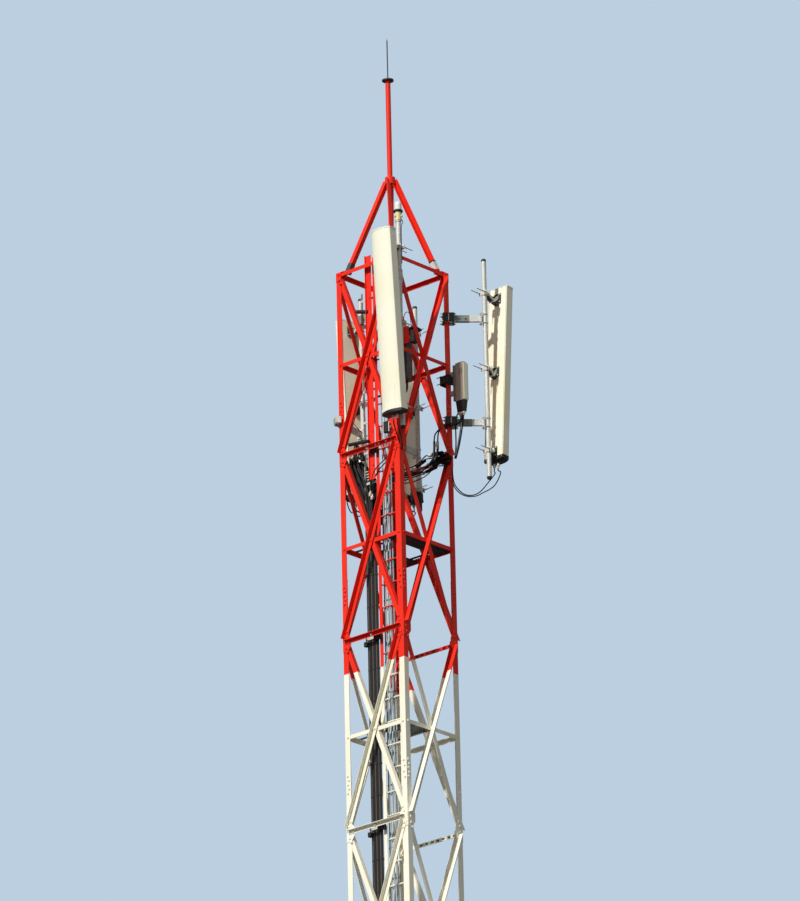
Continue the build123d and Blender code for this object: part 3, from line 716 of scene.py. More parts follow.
def smooth_route(route, steps):
    """Points of a curve that runs evenly through the route's points."""
    route = [Vector(point) for point in route]
    ends = [2 * route[0] - route[1], *route, 2 * route[-1] - route[-2]]
    line = [route[0]]
    for a, b, c, d in zip(ends, ends[1:], ends[2:], ends[3:]):
        for step in range(1, steps + 1):
            t = step / steps
            bend = (2 * a - 5 * b + 4 * c - d) * t**2 + (3 * b - a - 3 * c + d) * t**3
            line.append(0.5 * (2 * b + (c - a) * t + bend))
    return line


def tube(line, diameter, sides):
    """Round tube along a line of points, closed at both ends."""
    points = []
    side = (line[1] - line[0]).orthogonal().normalized()
    for index, centre in enumerate(line):
        run = (line[min(index + 1, len(line) - 1)] - line[max(index - 1, 0)]).normalized()
        side = (side - run * side.dot(run)).normalized()
        across = run.cross(side)
        for corner in range(sides):
            angle = 2 * math.pi * corner / sides
            reach = side * math.cos(angle) + across * math.sin(angle)
            points.append(centre + reach * diameter / 2)
    return points, rings(points, sides)


def hex_bolt(diameter, grip, tail=0.5):
    """Head and washer above a seat at the origin, nut and thread below it."""
    build = Build()
    washer = diameter * WASHER_RADIUS
    across = diameter * HEX_RADIUS
    crown = across * HEX_CROWN
    head = diameter * HEAD_HEIGHT
    under = -grip - WASHER_THICK
    nut = under - diameter * NUT_HEIGHT
    end = nut - diameter * tail
    build.add(turned([(washer, 0), (washer, WASHER_THICK)], 12))
    build.add(turned([(across, WASHER_THICK), (across, head), (crown, head + HEX_BEVEL)], 6))
    build.add(turned([(washer, under), (washer, -grip)], 12))
    build.add(turned([(crown, nut), (across, nut + HEX_BEVEL), (across, under)], 6))
    side = diameter / 2
    thread = [(diameter * THREAD_TIP, end), (side, end + THREAD_BEVEL), (side, -grip)]
    build.add(turned(thread, 8))
    return build.shape()


def hex_nut(diameter):
    """Washer and nut that stand on a seat at the origin."""
    build = Build()
    washer = diameter * WASHER_RADIUS
    across = diameter * HEX_RADIUS
    crown = across * HEX_CROWN
    top = WASHER_THICK + diameter * NUT_HEIGHT
    build.add(turned([(washer, 0), (washer, WASHER_THICK)], 12))
    build.add(turned([(across, WASHER_THICK), (across, top - HEX_BEVEL), (crown, top)], 6))
    return build.shape()


def connector(diameter, length):
    """Cable connector that points along +Z: boot, knurled nut and collar."""
    boot = diameter * 0.75
    nut = diameter * 1.45
    collar = nut * 0.78
    outline = (
        (boot, 0), (boot, 0.3), (nut * 0.8, 0.34), (nut, 0.4),
        (nut, 0.74), (collar, 0.78), (collar, 1),
    )
    return turned([(radius, length * share) for radius, share in outline], 12)


class Build:
    """Points and faces of one piece before it becomes an object."""

    sharp_from = math.radians(35)

    def __init__(self, shape=None, place=(0, 0, 0)):
        self.points = []
        self.faces = []
        if shape:
            self.add(shape, place)

    def shape(self):
        """Points and faces, as one shape that other builds can add."""
        return self.points, self.faces

    def add(self, shape, place=(0, 0, 0)):
        """Add a shape at a place, or at a point where it isn't turned."""
        points, faces = shape
        start = len(self.points)
        if not isinstance(place, Matrix):
            place = Matrix.Translation(place)
        self.points += [place @ Vector(point) for point in points]
        self.faces += [tuple(start + index for index in face) for face in faces]

    def blocks(self, rows, chamfer):
        """Chamfered blocks: each has its middle, seen from the axis and the ring, and its size."""
        for middle, size in rows:
            self.add(block(*size, chamfer), spot(*middle))

    def rod(self, start, end, diameter, sides=10):
        """Straight round bar with chamfered ends."""
        run = end - start
        edge = min(diameter * 0.1, run.length * 0.1)
        profile = [
            (diameter / 2 - edge, 0),
            (diameter / 2, edge),
            (diameter / 2, run.length - edge),
            (diameter / 2 - edge, run.length),
        ]
        self.add(turned(profile, sides), outward(start, run))

    def cable(self, route, diameter, sides=8, steps=6):
        """Smooth cable through the points of its route."""
        self.add(tube(smooth_route(route, steps), diameter, sides))

    def piece(self, name, slot, look=None):
        """Make the object, ride it on the tower and give it its finish."""
        mesh = bpy.data.meshes.new(name)
        mesh.from_pydata(self.points, [], self.faces)
        mesh.validate()
        mesh.shade_smooth()
        mesh.set_sharp_from_angle(angle=self.sharp_from)
        mesh.materials.append(finish(look or slot))
        made = bpy.data.objects.new(name, mesh)
        bpy.context.scene.collection.objects.link(made)
        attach(made, ROOT)


class Antenna:
    """Place of one panel antenna and of its pole, as on the solid frame."""

    def __init__(self, corner, beyond, low, length, facing, lean, spare, arms):
        side_x, side_y = CORNERS[corner]
        self.x = side_x * HALF + beyond[0]
        self.y = side_y * HALF + beyond[1]
        self.length = length
        self.spare = spare
        self.arms = arms
        self.pole = Matrix.Translation(spot(self.x, self.y, low)) @ spin(facing)
        shift = Matrix.Translation((0, -(POLE_RADIUS + PANEL_SEAT), 0))
        self.panel = self.pole @ shift @ spin(lean, "X")

    def brackets(self):
        """Heights of the three brackets above the foot of the panel."""
        return (BRACKET_LOW, self.length / 2, self.length - BRACKET_HIGH)

    def port(self, index):
        """End of one of the four ports under the lower cap."""
        x = (index - 1.5) * PORT_PITCH
        return self.panel @ Vector((x, -PANEL_SIDE_DEPTH / 2, -PANEL_CAP_LOW - PORT_LENGTH))


ANTENNAS = {
    "front": Antenna(
        "near", (0.155, -0.1), -2.17, 2.33, 0, 3.4, 0.22, (("near", -0.35), ("near", -1.95))
    ),
    "right": Antenna(
        "right", (0.32, 0.32), -2.42, 2.32, 180, 4.25, 0.31, (("right", -0.587), ("right", -1.99))
    ),
    "back": Antenna(
        "far", (-0.06, 0.55), -2.52, 2.33, -95, 3.7, 0.22, (("far", -0.56), ("far", -1.97))
    ),
    "left": Antenna(
        "left", (-0.12, 0.58), -2.75, 2.4, -101, 3.1, 0.22, (("far", -0.33), ("left", -1.97))
    ),
}


class TOWER_OT_frame_finishes(bpy.types.Operator):
    """Give every solid of the frame its finish"""

    bl_idname = "tower.frame_finishes"
    bl_label = "Frame Finishes"

    def execute(self, context):
        slots = {part["node"]: part["material_slot"] for part in frame["record"]["subparts"]}
        for name, node in frame["nodes"].items():
            node.data.materials.clear()
            node.data.materials.append(finish(NODE_FINISHES.get(name, slots[name])))
        return {"FINISHED"}


class TOWER_OT_splice_bolts(bpy.types.Operator):
    """Bolts of the leg splices"""

    bl_idname = "tower.splice_bolts"
    bl_label = "Splice Bolts"

    above_joint = 0.62
    bolted_length = 0.222
    stagger = 0.008

    def execute(self, context):
        sizes = context.scene.tower_sizes
        bolt = hex_bolt(sizes.bolt_diameter, LEG_THICK + GUSSET_THICK)
        gauge = HALF - LEG_SIZE / 2
        rows = ((0, 1, sizes.front_splice_bolts), (90, -1, sizes.side_splice_bolts))
        for leg, degrees in enumerate(FACE_TURNS):
            build = Build()
            for level in range(BAY_COUNT):
                middle = FOOT_HEIGHT + level * BAY_HEIGHT + self.above_joint
                for face, side, count in rows:
                    for index in range(count):
                        height = middle + self.bolted_length * (index / (count - 1) - 0.5)
                        x = side * (gauge + self.stagger * (-1) ** index)
                        build.add(bolt, on_face(degrees + face, x, height, HALF))
            build.piece("splice_bolts_" + str(leg + 1), "tower_paint")
        return {"FINISHED"}


class TOWER_OT_joint_bolts(bpy.types.Operator):
    """Bolts through the bracing, its rings and its struts"""

    bl_idname = "tower.joint_bolts"
    bl_label = "Joint Bolts"

    along_brace = (0.035, 0.095)
    ring_end = 0.045
    strut_ends = (0.055, 0.105)

    def brace_bolts(self, build, degrees, bolt, low, high):
        """Two bolts at each end of both crossed bars of a bay."""
        run = Vector((2 * BRACE_REACH, 0, high - low)).normalized()
        for slope, out in ((1, HALF + GUSSET_THICK + BAR_THICK), (-1, HALF + GUSSET_THICK)):
            for distance in self.along_brace:
                x = slope * (BRACE_REACH - run.x * distance)
                rise = run.z * distance
                build.add(bolt, on_face(degrees, -x, low + rise, out))
                build.add(bolt, on_face(degrees, x, high - rise, out))

    def execute(self, context):
        diameter = context.scene.tower_sizes.bolt_diameter
        end_bolt = hex_bolt(diameter, GUSSET_THICK + LEG_THICK + BAR_THICK)
        cross_bolt = hex_bolt(diameter, 2 * BAR_THICK + GUSSET_THICK + LEG_THICK)
        ring_bolt = hex_bolt(diameter, LEG_THICK + BAR_THICK)
        strut_out = HALF + GUSSET_THICK + BAR_THICK
        for face, degrees in enumerate(FACE_TURNS):
            build = Build()
            for level in range(BAY_COUNT):
                joint = FOOT_HEIGHT + level * BAY_HEIGHT
                low = joint + BRACE_END_GAP
                high = joint + BAY_HEIGHT - BRACE_END_GAP
                middle = (low + high) / 2
                self.brace_bolts(build, degrees, end_bolt, low, high)
                build.add(cross_bolt, on_face(degrees, 0, middle, strut_out))
                for side in (-1, 1):
                    x = side * (HALF - self.ring_end)
                    build.add(ring_bolt, on_face(degrees, x, middle, HALF))
                    if face % 2:
                        build.add(ring_bolt, on_face(degrees, x, joint, HALF + GUSSET_THICK))
                        continue
                    for end in self.strut_ends if level else ():
                        strut_x = side * (HALF - end)
                        build.add(end_bolt, on_face(degrees, strut_x, joint, strut_out))
            for side in (-1, 1):
                x = side * (HALF - self.ring_end)
                build.add(end_bolt, on_face(degrees, x, RING_Z, HALF + GUSSET_THICK))
            build.piece("joint_bolts_" + str(face + 1), "tower_paint")
        return {"FINISHED"}


class TOWER_OT_foot_fittings(bpy.types.Operator):
    """Anchor bolts with their nuts, and the welds round the feet"""

    bl_idname = "tower.foot_fittings"
    bl_label = "Foot Fittings"

    anchor_spacing = 0.18
    anchor_low = 0.001
    anchor_length = 0.075
    second_nut = 0.85
    weld_size = 0.012

    def execute(self, context):
        diameter = context.scene.tower_sizes.anchor_diameter
        nut = hex_nut(diameter)
        anchors = Build()
        welds = Build()
        plate_x = HALF - LEG_SIZE / 2
        for degrees in FACE_TURNS:
            for side_x in (-0.5, 0.5):
                for side_y in (-0.5, 0.5):
                    x = AXIS.x + plate_x + side_x * self.anchor_spacing
                    y = AXIS.y - plate_x + side_y * self.anchor_spacing
                    low = turn(degrees) @ Vector((x, y, self.anchor_low))
                    seat = low + UP * PLATE_THICK
                    lock = seat + UP * (diameter * self.second_nut)
                    anchors.rod(low, low + UP * self.anchor_length, diameter, 12)
                    anchors.add(nut, outward(seat, UP))
                    anchors.add(nut, outward(lock, UP))
            heel = (AXIS.x + HALF, AXIS.y - HALF)
            for end in ((-LEG_SIZE, 0), (0, LEG_SIZE)):
                start = turn(degrees) @ Vector((*heel, PLATE_THICK))
                tip = Vector((heel[0] + end[0], heel[1] + end[1], PLATE_THICK))
                welds.rod(start, turn(degrees) @ tip, self.weld_size, 8)
        anchors.piece("anchor_bolts", "galvanised", "bright_zinc")
        welds.piece("foot_welds", "tower_paint")
        return {"FINISHED"}


class TOWER_OT_spire_fittings(bpy.types.Operator):
    """Dark shoes at the feet of the spire, bolts of its corner plates and welds at its collar"""

    bl_idname = "tower.spire_fittings"
    bl_label = "Spire Fittings"

    foot_inset = 0.1
    apex_height = 1.3
    bar_size = 0.06
    seat_above_ring = 0.029
    shoe_low = 0.012
    shoe_length = 0.15
    shoe_thick = 0.003
    shoe_gap = 0.0003
    shoe_lip = 0.002
    plate_top = 0.033
    plate_grip = 0.014
    bolt_reach = (0.455, 0.385)
    # Each sleeve: width, length and how far along the bar its middle is
    strap = (0.066, 0.018, 0.16)
    stub = (0.063, 0.11, 0.092)
    collar_radius = 0.065
    collar_height = 0.09
    weld_share = 0.78
    weld_size = 0.01
    disc_seat = 2.69
    disc_thick = 0.014
    needle_nut = 0.02
    point = ((0.0081, 0), (0.001, 0.03))
    point_overlap = 0.001

    def shoe(self):
        """Angle that wraps the two outer sides of a sloping bar, drawn along +Z."""
        reach = self.bar_size + self.shoe_lip
        thick = self.shoe_thick
        gap = self.shoe_gap
        outline = (
            (-reach, -thick), (thick, -thick), (thick, reach),
            (gap, reach), (gap, -gap), (-reach, -gap),
        )
        heights = (0, self.shoe_length)
        points = [spin(45) @ Vector((x, y, z)) for z in heights for x, y in outline]
        sides = len(outline)
        walls = rings(points, sides)[1:-1]
        halves = ((0, 1, 4, 5), (1, 2, 3, 4))
        ends = [tuple(reversed(half)) for half in halves]
        ends += [tuple(sides + index for index in half) for half in halves]
        return points, walls + ends

    def bar_place(self, x, y):
        """Place at the foot of a sloping bar, +Z along it."""
        foot = HALF - self.foot_inset
        top = self.collar_radius / 2
        start = spot(x * foot, y * foot, self.seat_above_ring)
        run = (spot(x * top, y * top, self.apex_height) - start).normalized()
        across = Vector((-y, x, 0)).normalized()
        turned_to = Matrix((across, run.cross(across), run)).transposed().to_4x4()
        return Matrix.Translation(start) @ turned_to

    def sleeve(self, build, width, length, along):
        """Square sleeve round the sloping bar at the right corner."""
        place = self.bar_place(*CORNERS["right"]) @ spin(45)
        middle = Matrix.Translation((-self.bar_size / 2, self.bar_size / 2, along))
        build.add(block(width, width, length, BEVEL), place @ middle)

    def collar_welds(self):
        """Weld beads round both ends of the collar."""
        welds = Build()
        radius = self.collar_radius * self.weld_share
        low = self.apex_height - self.collar_height / 2
        for height in (low, low + self.collar_height):
            ring = [
                spot(radius * math.cos(angle), radius * math.sin(angle), height)
                for angle in map(math.radians, range(0, 361, 15))
            ]
            welds.add(tube(ring, self.weld_size, 6))
        welds.piece("collar_welds", "tower_paint")

    def needle_ends(self):
        """Nut on the disc at the needle's foot, and the point at its upper end."""
        needle = Build()
        disc_top = RING_Z + self.disc_seat + self.disc_thick
        needle.add(hex_nut(self.needle_nut), outward(AXIS + UP * disc_top, UP))
        tip = AXIS + UP * (needle_high.z - self.point_overlap)
        needle.add(turned(self.point, 12), outward(tip, UP))
        needle.piece("needle_fittings", "needle_steel")

    def execute(self, context):
        bolt = hex_bolt(context.scene.tower_sizes.bolt_diameter, self.plate_grip)
        shoes = Build()
        bolts = Build()
        for x, y in CORNERS.values():
            shift = Matrix.Translation((0, 0, self.shoe_low))
            shoes.add(self.shoe(), self.bar_place(x, y) @ shift)
            for across, along in (self.bolt_reach, self.bolt_reach[::-1]):
                bolts.add(bolt, outward(spot(x * across, y * along, self.plate_top), UP))
        self.sleeve(shoes, *self.strap)
        stub = Build()
        self.sleeve(stub, *self.stub)
        stub.piece("spire_stub", "galvanised", "tie_plastic")
        shoes.piece("spire_shoes", "needle_steel")
        bolts.piece("spire_bolts", "tower_paint")
        self.collar_welds()
        self.needle_ends()
        return {"FINISHED"}


class TOWER_OT_ladder_fittings(bpy.types.Operator):
    """Bolts of the ladder brackets and welds at the rung ends"""

    bl_idname = "tower.ladder_fittings"
    bl_label = "Ladder Fittings"

    left_x = 0.02
    right_x = 0.37
    foot = 0.3
    rung_pitch = 0.3
    rung_y = -HALF + 0.125
    rung_radius = 0.01
    stile_thick = 0.005
    bracket_half_width = 0.02
    bracket_top = 0.031
    bolt_y = -0.462
    bolt_share = 0.8
    bolt_grip = 0.012
    weld_shares = (1.45, 1.05)
    weld_depth = 0.006

    def execute(self, context):
        diameter = context.scene.tower_sizes.bolt_diameter * self.bolt_share
        bolt = hex_bolt(diameter, self.bolt_grip)
        build = Build()
        for level in range(BAY_COUNT):
            z = FOOT_HEIGHT + (level + 0.5) * BAY_HEIGHT - RING_Z + self.bracket_top
            for x in (self.left_x + self.bracket_half_width, self.right_x - self.bracket_half_width):
                build.add(bolt, outward(spot(x, self.bolt_y, z), UP))
        build.piece("ladder_bolts", "tower_paint")
        welds = Build()
        wide, narrow = [self.rung_radius * share for share in self.weld_shares]
        collar = turned([(wide, 0), (narrow, self.weld_depth)], 10)
        count = int((RING_Z - STRUT_SIZE - self.foot) // self.rung_pitch)
        for index in range(count):
            z = self.foot + (index + 0.5) * self.rung_pitch - RING_Z
            left = spot(self.left_x + self.stile_thick, self.rung_y, z)
            right = spot(self.right_x - self.stile_thick, self.rung_y, z)
            welds.add(collar, outward(left, (1, 0, 0)))
            welds.add(collar, outward(right, (-1, 0, 0)))
        welds.piece("rung_welds", "tower_paint")
        return {"FINISHED"}


class TOWER_OT_feeder_clamps(bpy.types.Operator):
    """Bolts of the cable straps, and the bands that hold each feeder to the cable ladder"""

    bl_idname = "tower.feeder_clamps"
    bl_label = "Feeder Clamps"

    strap_every = 3
    straps_end = -3.6
    strap_front = 0.0203
    strap_bolt = (0.01, 0.012)
    rails = (-0.19, 0.0105)
    fans_out = -3.25
    inner_index = 3
    inner_end = -2.0
    top_gap = 0.3
    band_share = 0.58
    band_height = 0.01
    head_size = (0.009, 0.008, 0.011)
    head_out = 0.002

    def execute(self, context):
        bolts = Build()
        bands = Build()
        bolt = hex_bolt(*self.strap_bolt)
        radius = FEEDER_DIAMETER * self.band_share
        band = turned([(radius, -self.band_height / 2), (radius, self.band_height / 2)], 12)
        head = block(*self.head_size)
        count = int((RING_Z - self.top_gap - FOOT_HEIGHT) // TRAY_RUNG_PITCH)
        for index in range(1, count + 1):
            z = FOOT_HEIGHT + index * TRAY_RUNG_PITCH - RING_Z
            if index % self.strap_every == 0 and z < self.straps_end:
                for x in self.rails:
                    bolts.add(bolt, outward(spot(x, FEEDER_Y - self.strap_front, z), FRONT))
                continue
            for number in range(FEEDER_COUNT):
                if z < self.fans_out or (number == self.inner_index and z < self.inner_end):
                    centre = spot(FEEDER_LEFT + number * FEEDER_PITCH, FEEDER_Y, z)
                    bands.add(band, centre)
                    bands.add(head, centre - Vector((0, radius + self.head_out, 0)))
        bolts.piece("strap_bolts", "galvanised", "bright_zinc")
        bands.piece("feeder_bands", "black_plastic")
        return {"FINISHED"}


class TOWER_OT_control_ties(bpy.types.Operator):
    """Pale ties that hold the control cables to the rungs"""

    bl_idname = "tower.control_ties"
    bl_label = "Control Ties"

    first_rung = 0.45
    rung_pitch = 0.3
    rungs = range(3, 42)
    cables = (0.09, 0.136, 0.182, 0.228)
    tied_share = 0.45
    tie_size = (0.024, 0.036, 0.006)
    stand_off = 0.004
    uneven = 0.004

    def execute(self, context):
        rng = random.Random(11)
        low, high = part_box("control_cables")
        ties = Build()
        tie = block(*self.tie_size)
        for index in self.rungs:
            z = self.first_rung + index * self.rung_pitch
            for x in self.cables:
                if z < high.z and rng.random() < self.tied_share:
                    rise = rng.uniform(-self.uneven, self.uneven)
                    ties.add(tie, (AXIS.x + x, low.y - self.stand_off, z + rise))
        ties.piece("control_ties", "black_plastic", "tie_plastic")
        return {"FINISHED"}


class TOWER_OT_pole_hardware(bpy.types.Operator):
    """Nuts and long threads of the pole clamps, U-bolts of the arms and caps of the poles"""

    bl_idname = "tower.pole_hardware"
    bl_label = "Pole Hardware"

    thread = 0.01
    thread_nut = 0.012
    clamp_seat = POLE_RADIUS - 0.003 + CLAMP_PLATE
    u_bolt = 0.01
    u_bolt_level = 0.72
    u_bolt_leg = 0.075
    u_bolt_tail = 0.02
    plate_wider = 0.04
    plate_share = 1.9
    plate_thick = 0.008
    plate_out = 0.02
    cap_lip = 0.002
    cap_side = 0.02
    cap_height = 0.014
    cap_seat = 0.018

    def clamp_threads(self, build, antenna, thread_tail):
        """Long threads behind the pole and their nuts."""
        nut = hex_nut(self.thread_nut)
        for z in antenna.brackets():
            for x in (-CLAMP_BOLT_X, CLAMP_BOLT_X):
                start = antenna.pole @ Vector((x, self.clamp_seat, z))
                end = antenna.pole @ Vector((x, thread_tail, z))
                front = antenna.pole @ Vector((x, -self.clamp_seat, z))
                build.rod(start, end, self.thread, 8)
                build.add(nut, outward(start, end - start))
                build.add(nut, outward(front, start - end))

    def u_bolts(self, build, antenna):
        """Two U-bolts round the pole at each arm, and the plate that they pull against."""
        nut = hex_nut(self.u_bolt)
        radius = POLE_RADIUS + self.u_bolt / 2
        height = ARM_DEPTH * self.u_bolt_level
        size = (2 * radius + self.plate_wider, ARM_DEPTH * self.plate_share, self.plate_thick)
        plate = block(*size, BEVEL)
        for corner, level in antenna.arms:
            x, y = CORNERS[corner]
            pole = spot(antenna.x, antenna.y, level)
            back = (spot(x * HALF, y * HALF, level) - pole).normalized()
            across = back.cross(UP)
            for rise in (-height, height):
                middle = pole + UP * rise
                bend = [
                    middle + radius * (math.cos(angle) * across - math.sin(angle) * back)
                    for angle in map(math.radians, range(0, 181, 15))
                ]
                start = bend[0] + back * self.u_bolt_leg
                end = bend[-1] + back * self.u_bolt_leg
                build.add(tube([start, *bend, end], self.u_bolt, 8))
                for tip in (start, end):
                    build.add(nut, outward(tip - back * self.u_bolt_tail, back))
            seat = outward(pole + back * (POLE_RADIUS + self.plate_out), back)
            level_turn = seat.to_3x3().transposed() @ UP
            spin = math.atan2(level_turn.y, level_turn.x) - math.pi / 2
            build.add(plate, seat @ Matrix.Rotation(spin, 4, "Z"))

    def caps(self, build, antenna, name):
        """Plastic caps in the open ends of a pole."""
        rim = POLE_RADIUS + self.cap_lip
        crown = self.cap_side + self.cap_height
        cap = turned([(rim, 0), (rim, self.cap_side), (rim * 0.8, crown)], 16)
        low = antenna.pole @ Vector((0, 0, self.cap_seat - antenna.spare))
        build.add(cap, outward(low, (0, 0, -1)))
        if name != "front":
            top = antenna.pole @ Vector((0, 0, antenna.length + antenna.spare - self.cap_seat))
            build.add(cap, outward(top, UP))

    def execute(self, context):
        thread_tail = context.scene.tower_sizes.thread_tail
        for name, antenna in ANTENNAS.items():
            threads = Build()
            bends = Build()
            caps = Build()
            self.clamp_threads(threads, antenna, thread_tail)
            self.u_bolts(bends, antenna)
            self.caps(caps, antenna, name)
            threads.piece("clamp_threads_" + name, "galvanised", "dull_zinc_and_painted_shade")
            bends.piece("u_bolts_" + name, "galvanised", "bright_zinc")
            caps.piece("pole_caps_" + name, "black_plastic")
        return {"FINISHED"}


class TOWER_OT_leg_clamps(bpy.types.Operator):
    """Black clamps of the stand-off arms on the legs, their bolts and dark sleeves on the arms; the
    sleeves are painted shade of the legs' shadow, and the clamps' black is partly painted shade
    """

    bl_idname = "tower.leg_clamps"
    bl_label = "Leg Clamps"

    jaw_outside = 0.004
    jaw_inside = 0.078
    jaw_width = 0.16
    jaw_height = 0.12
    jaw_thick = 0.012
    cheek_depth = 0.06
    bolt_size = 0.014
    bolt_offset = 0.052
    bolt_heights = (-0.05, 0.05)
    bolt_ends = (0.03, 0.04)
    nut_seat = 0.006
    sleeve_wall = 0.004
    sleeve_chamfer = 0.003
    shade_share = 0.5
    sleeve_bolt = 0.012
    sleeve_bolts = (0.35, 0.75)

    def clamp(self, jaws, bolts, x, y, level):
        """Channel jaws outside and inside a leg, drawn together by four bolts."""
        out = Vector((x, y, 0)).normalized()
        across = out.cross(UP)
        heel = spot(x * HALF, y * HALF, level)
        outer = heel + out * (NOTCH_OUT + self.jaw_outside)
        inner = heel - out * self.jaw_inside
        frame_turn = Matrix((across, UP, -out)).transposed().to_4x4()
        web = block(self.jaw_width, self.jaw_height, self.jaw_thick, BEVEL)
        cheek = block(self.jaw_thick, self.jaw_height, self.cheek_depth, BEVEL)
        for seat, inwards in ((outer, -1), (inner, 1)):
            jaws.add(web, Matrix.Translation(seat) @ frame_turn)
            for side in (-1, 1):
                shift = across * side * (self.jaw_width - self.jaw_thick) / 2
                shift += out * inwards * self.cheek_depth / 2
                jaws.add(cheek, Matrix.Translation(seat + shift) @ frame_turn)
        nut = hex_nut(self.bolt_size)
        before, behind = self.bolt_ends
        for side in (-1, 1):
            for height in self.bolt_heights:
                shift = across * side * self.bolt_offset + UP * height
                near = outer + shift
                far = inner + shift
                bolts.rod(near + out * before, far - out * behind, self.bolt_size, 8)
                bolts.add(nut, outward(near + out * self.nut_seat, out))
                bolts.add(nut, outward(far - out * self.nut_seat, -out))

    def sleeve(self, build, antenna, x, y, level):
        """Dark square tube over the half of an arm next to the leg: painted shade where the leg's shadow
        falls on the arm.
        """
        heel = spot(x * HALF, y * HALF, level)
        pole = spot(antenna.x, antenna.y, level)
        start = heel + Vector((x, y, 0)).normalized() * NOTCH_OUT
        run = (pole - start) * self.shade_share
        side = Vector((-run.y, run.x, 0)).normalized()
        size = (ARM_THICK + 2 * self.sleeve_wall, ARM_DEPTH + 2 * self.sleeve_wall, run.length)
        aim = Matrix((side, UP, run.normalized())).transposed().to_4x4()
        build.add(block(*size, self.sleeve_chamfer), Matrix.Translation(start + run / 2) @ aim)
        bolt = hex_bolt(self.sleeve_bolt, size[0], 0.6)
        for share in self.sleeve_bolts:
            seat = start + run * share + side * size[0] / 2
            build.add(bolt, outward(seat, side))

    def execute(self, context):
        jaws = Build()
        bolts = Build()
        sleeves = Build()
        for antenna in ANTENNAS.values():
            for corner, level in antenna.arms:
                x, y = CORNERS[corner]
                if corner != "left":
                    self.clamp(jaws, bolts, x, y, level)
                self.sleeve(sleeves, antenna, x, y, level)
        # The jaws' black is partly painted shade, and the dark sleeves are painted shade of each leg's
        # shadow on its arm.
        jaws.piece("leg_clamp_jaws", "black_plastic", "black_steel_and_painted_shade")
        bolts.piece("leg_clamp_bolts", "galvanised", "bright_zinc")
        sleeves.piece("arm_shade_sleeves", "galvanised", "dull_zinc_and_painted_shade")
        return {"FINISHED"}


class TOWER_OT_panel_trim(bpy.types.Operator):
    """Dark seam lines that paint the shade of the grooves, cap screws and back plates of the panel
    antennas
    """

    bl_idname = "tower.panel_trim"
    bl_label = "Panel Trim"

    seam = 0.004
    seam_inset = 0.012
    seam_back = 0.0005
    seam_end = 0.002
    screw = 0.006
    screw_height = 0.003
    screws_across = (-0.13, -0.065, 0, 0.065, 0.13)
    cap_proud = 0.003
    upper_screws = 0.008
    plate_size = (0.12, 0.135, 0.012)
    plate_chamfer = 0.003
    plate_nut = 0.01
    nuts_across = (-0.045, 0.045)
    nuts_up = (-0.05, 0.05)

    def execute(self, context):
        seam_shade = Build()
        screws = Build()
        plates = Build()
        plate = block(*self.plate_size, self.plate_chamfer)
        plate_thick = self.plate_size[2]
        screw = turned([(self.screw, 0), (self.screw * 0.7, self.screw_height)], 8)
        nut = hex_nut(self.plate_nut)
        edge_x = PANEL_WIDTH / 2 - self.seam_inset
        for antenna in ANTENNAS.values():
            panel = antenna.panel
            # Dark rods along both back edges stand in for the shade in the groove where the back and the
            # cover meet: painted shade.
            for x in (-edge_x, edge_x):
                low = panel @ Vector((x, self.seam_back, self.seam_end))
                high = panel @ Vector((x, self.seam_back, antenna.length - self.seam_end))
                seam_shade.rod(low, high, self.seam, 6)
            back = (panel.to_3x3() @ Vector((0, 1, 0))).normalized()
            for x in self.screws_across:
                for z in (-PANEL_CAP_LOW / 2, antenna.length + self.upper_screws):
                    screws.add(screw, outward(panel @ Vector((x, self.cap_proud, z)), back))
            for z in antenna.brackets():
                middle = Matrix.Translation((0, plate_thick / 2, z))
                plates.add(plate, panel @ middle @ spin(-90, "X"))
                for x in self.nuts_across:
                    for rise in self.nuts_up:
                        seat = panel @ Vector((x, plate_thick, z + rise))
                        screws.add(nut, outward(seat, back))
        seam_shade.piece("radome_seam_shade", "radome", "dull_zinc_and_painted_shade")
        screws.piece("panel_screws", "galvanised", "bright_zinc")
        plates.piece("panel_back_plates", "black_plastic", "black_steel_and_painted_shade")
        return {"FINISHED"}


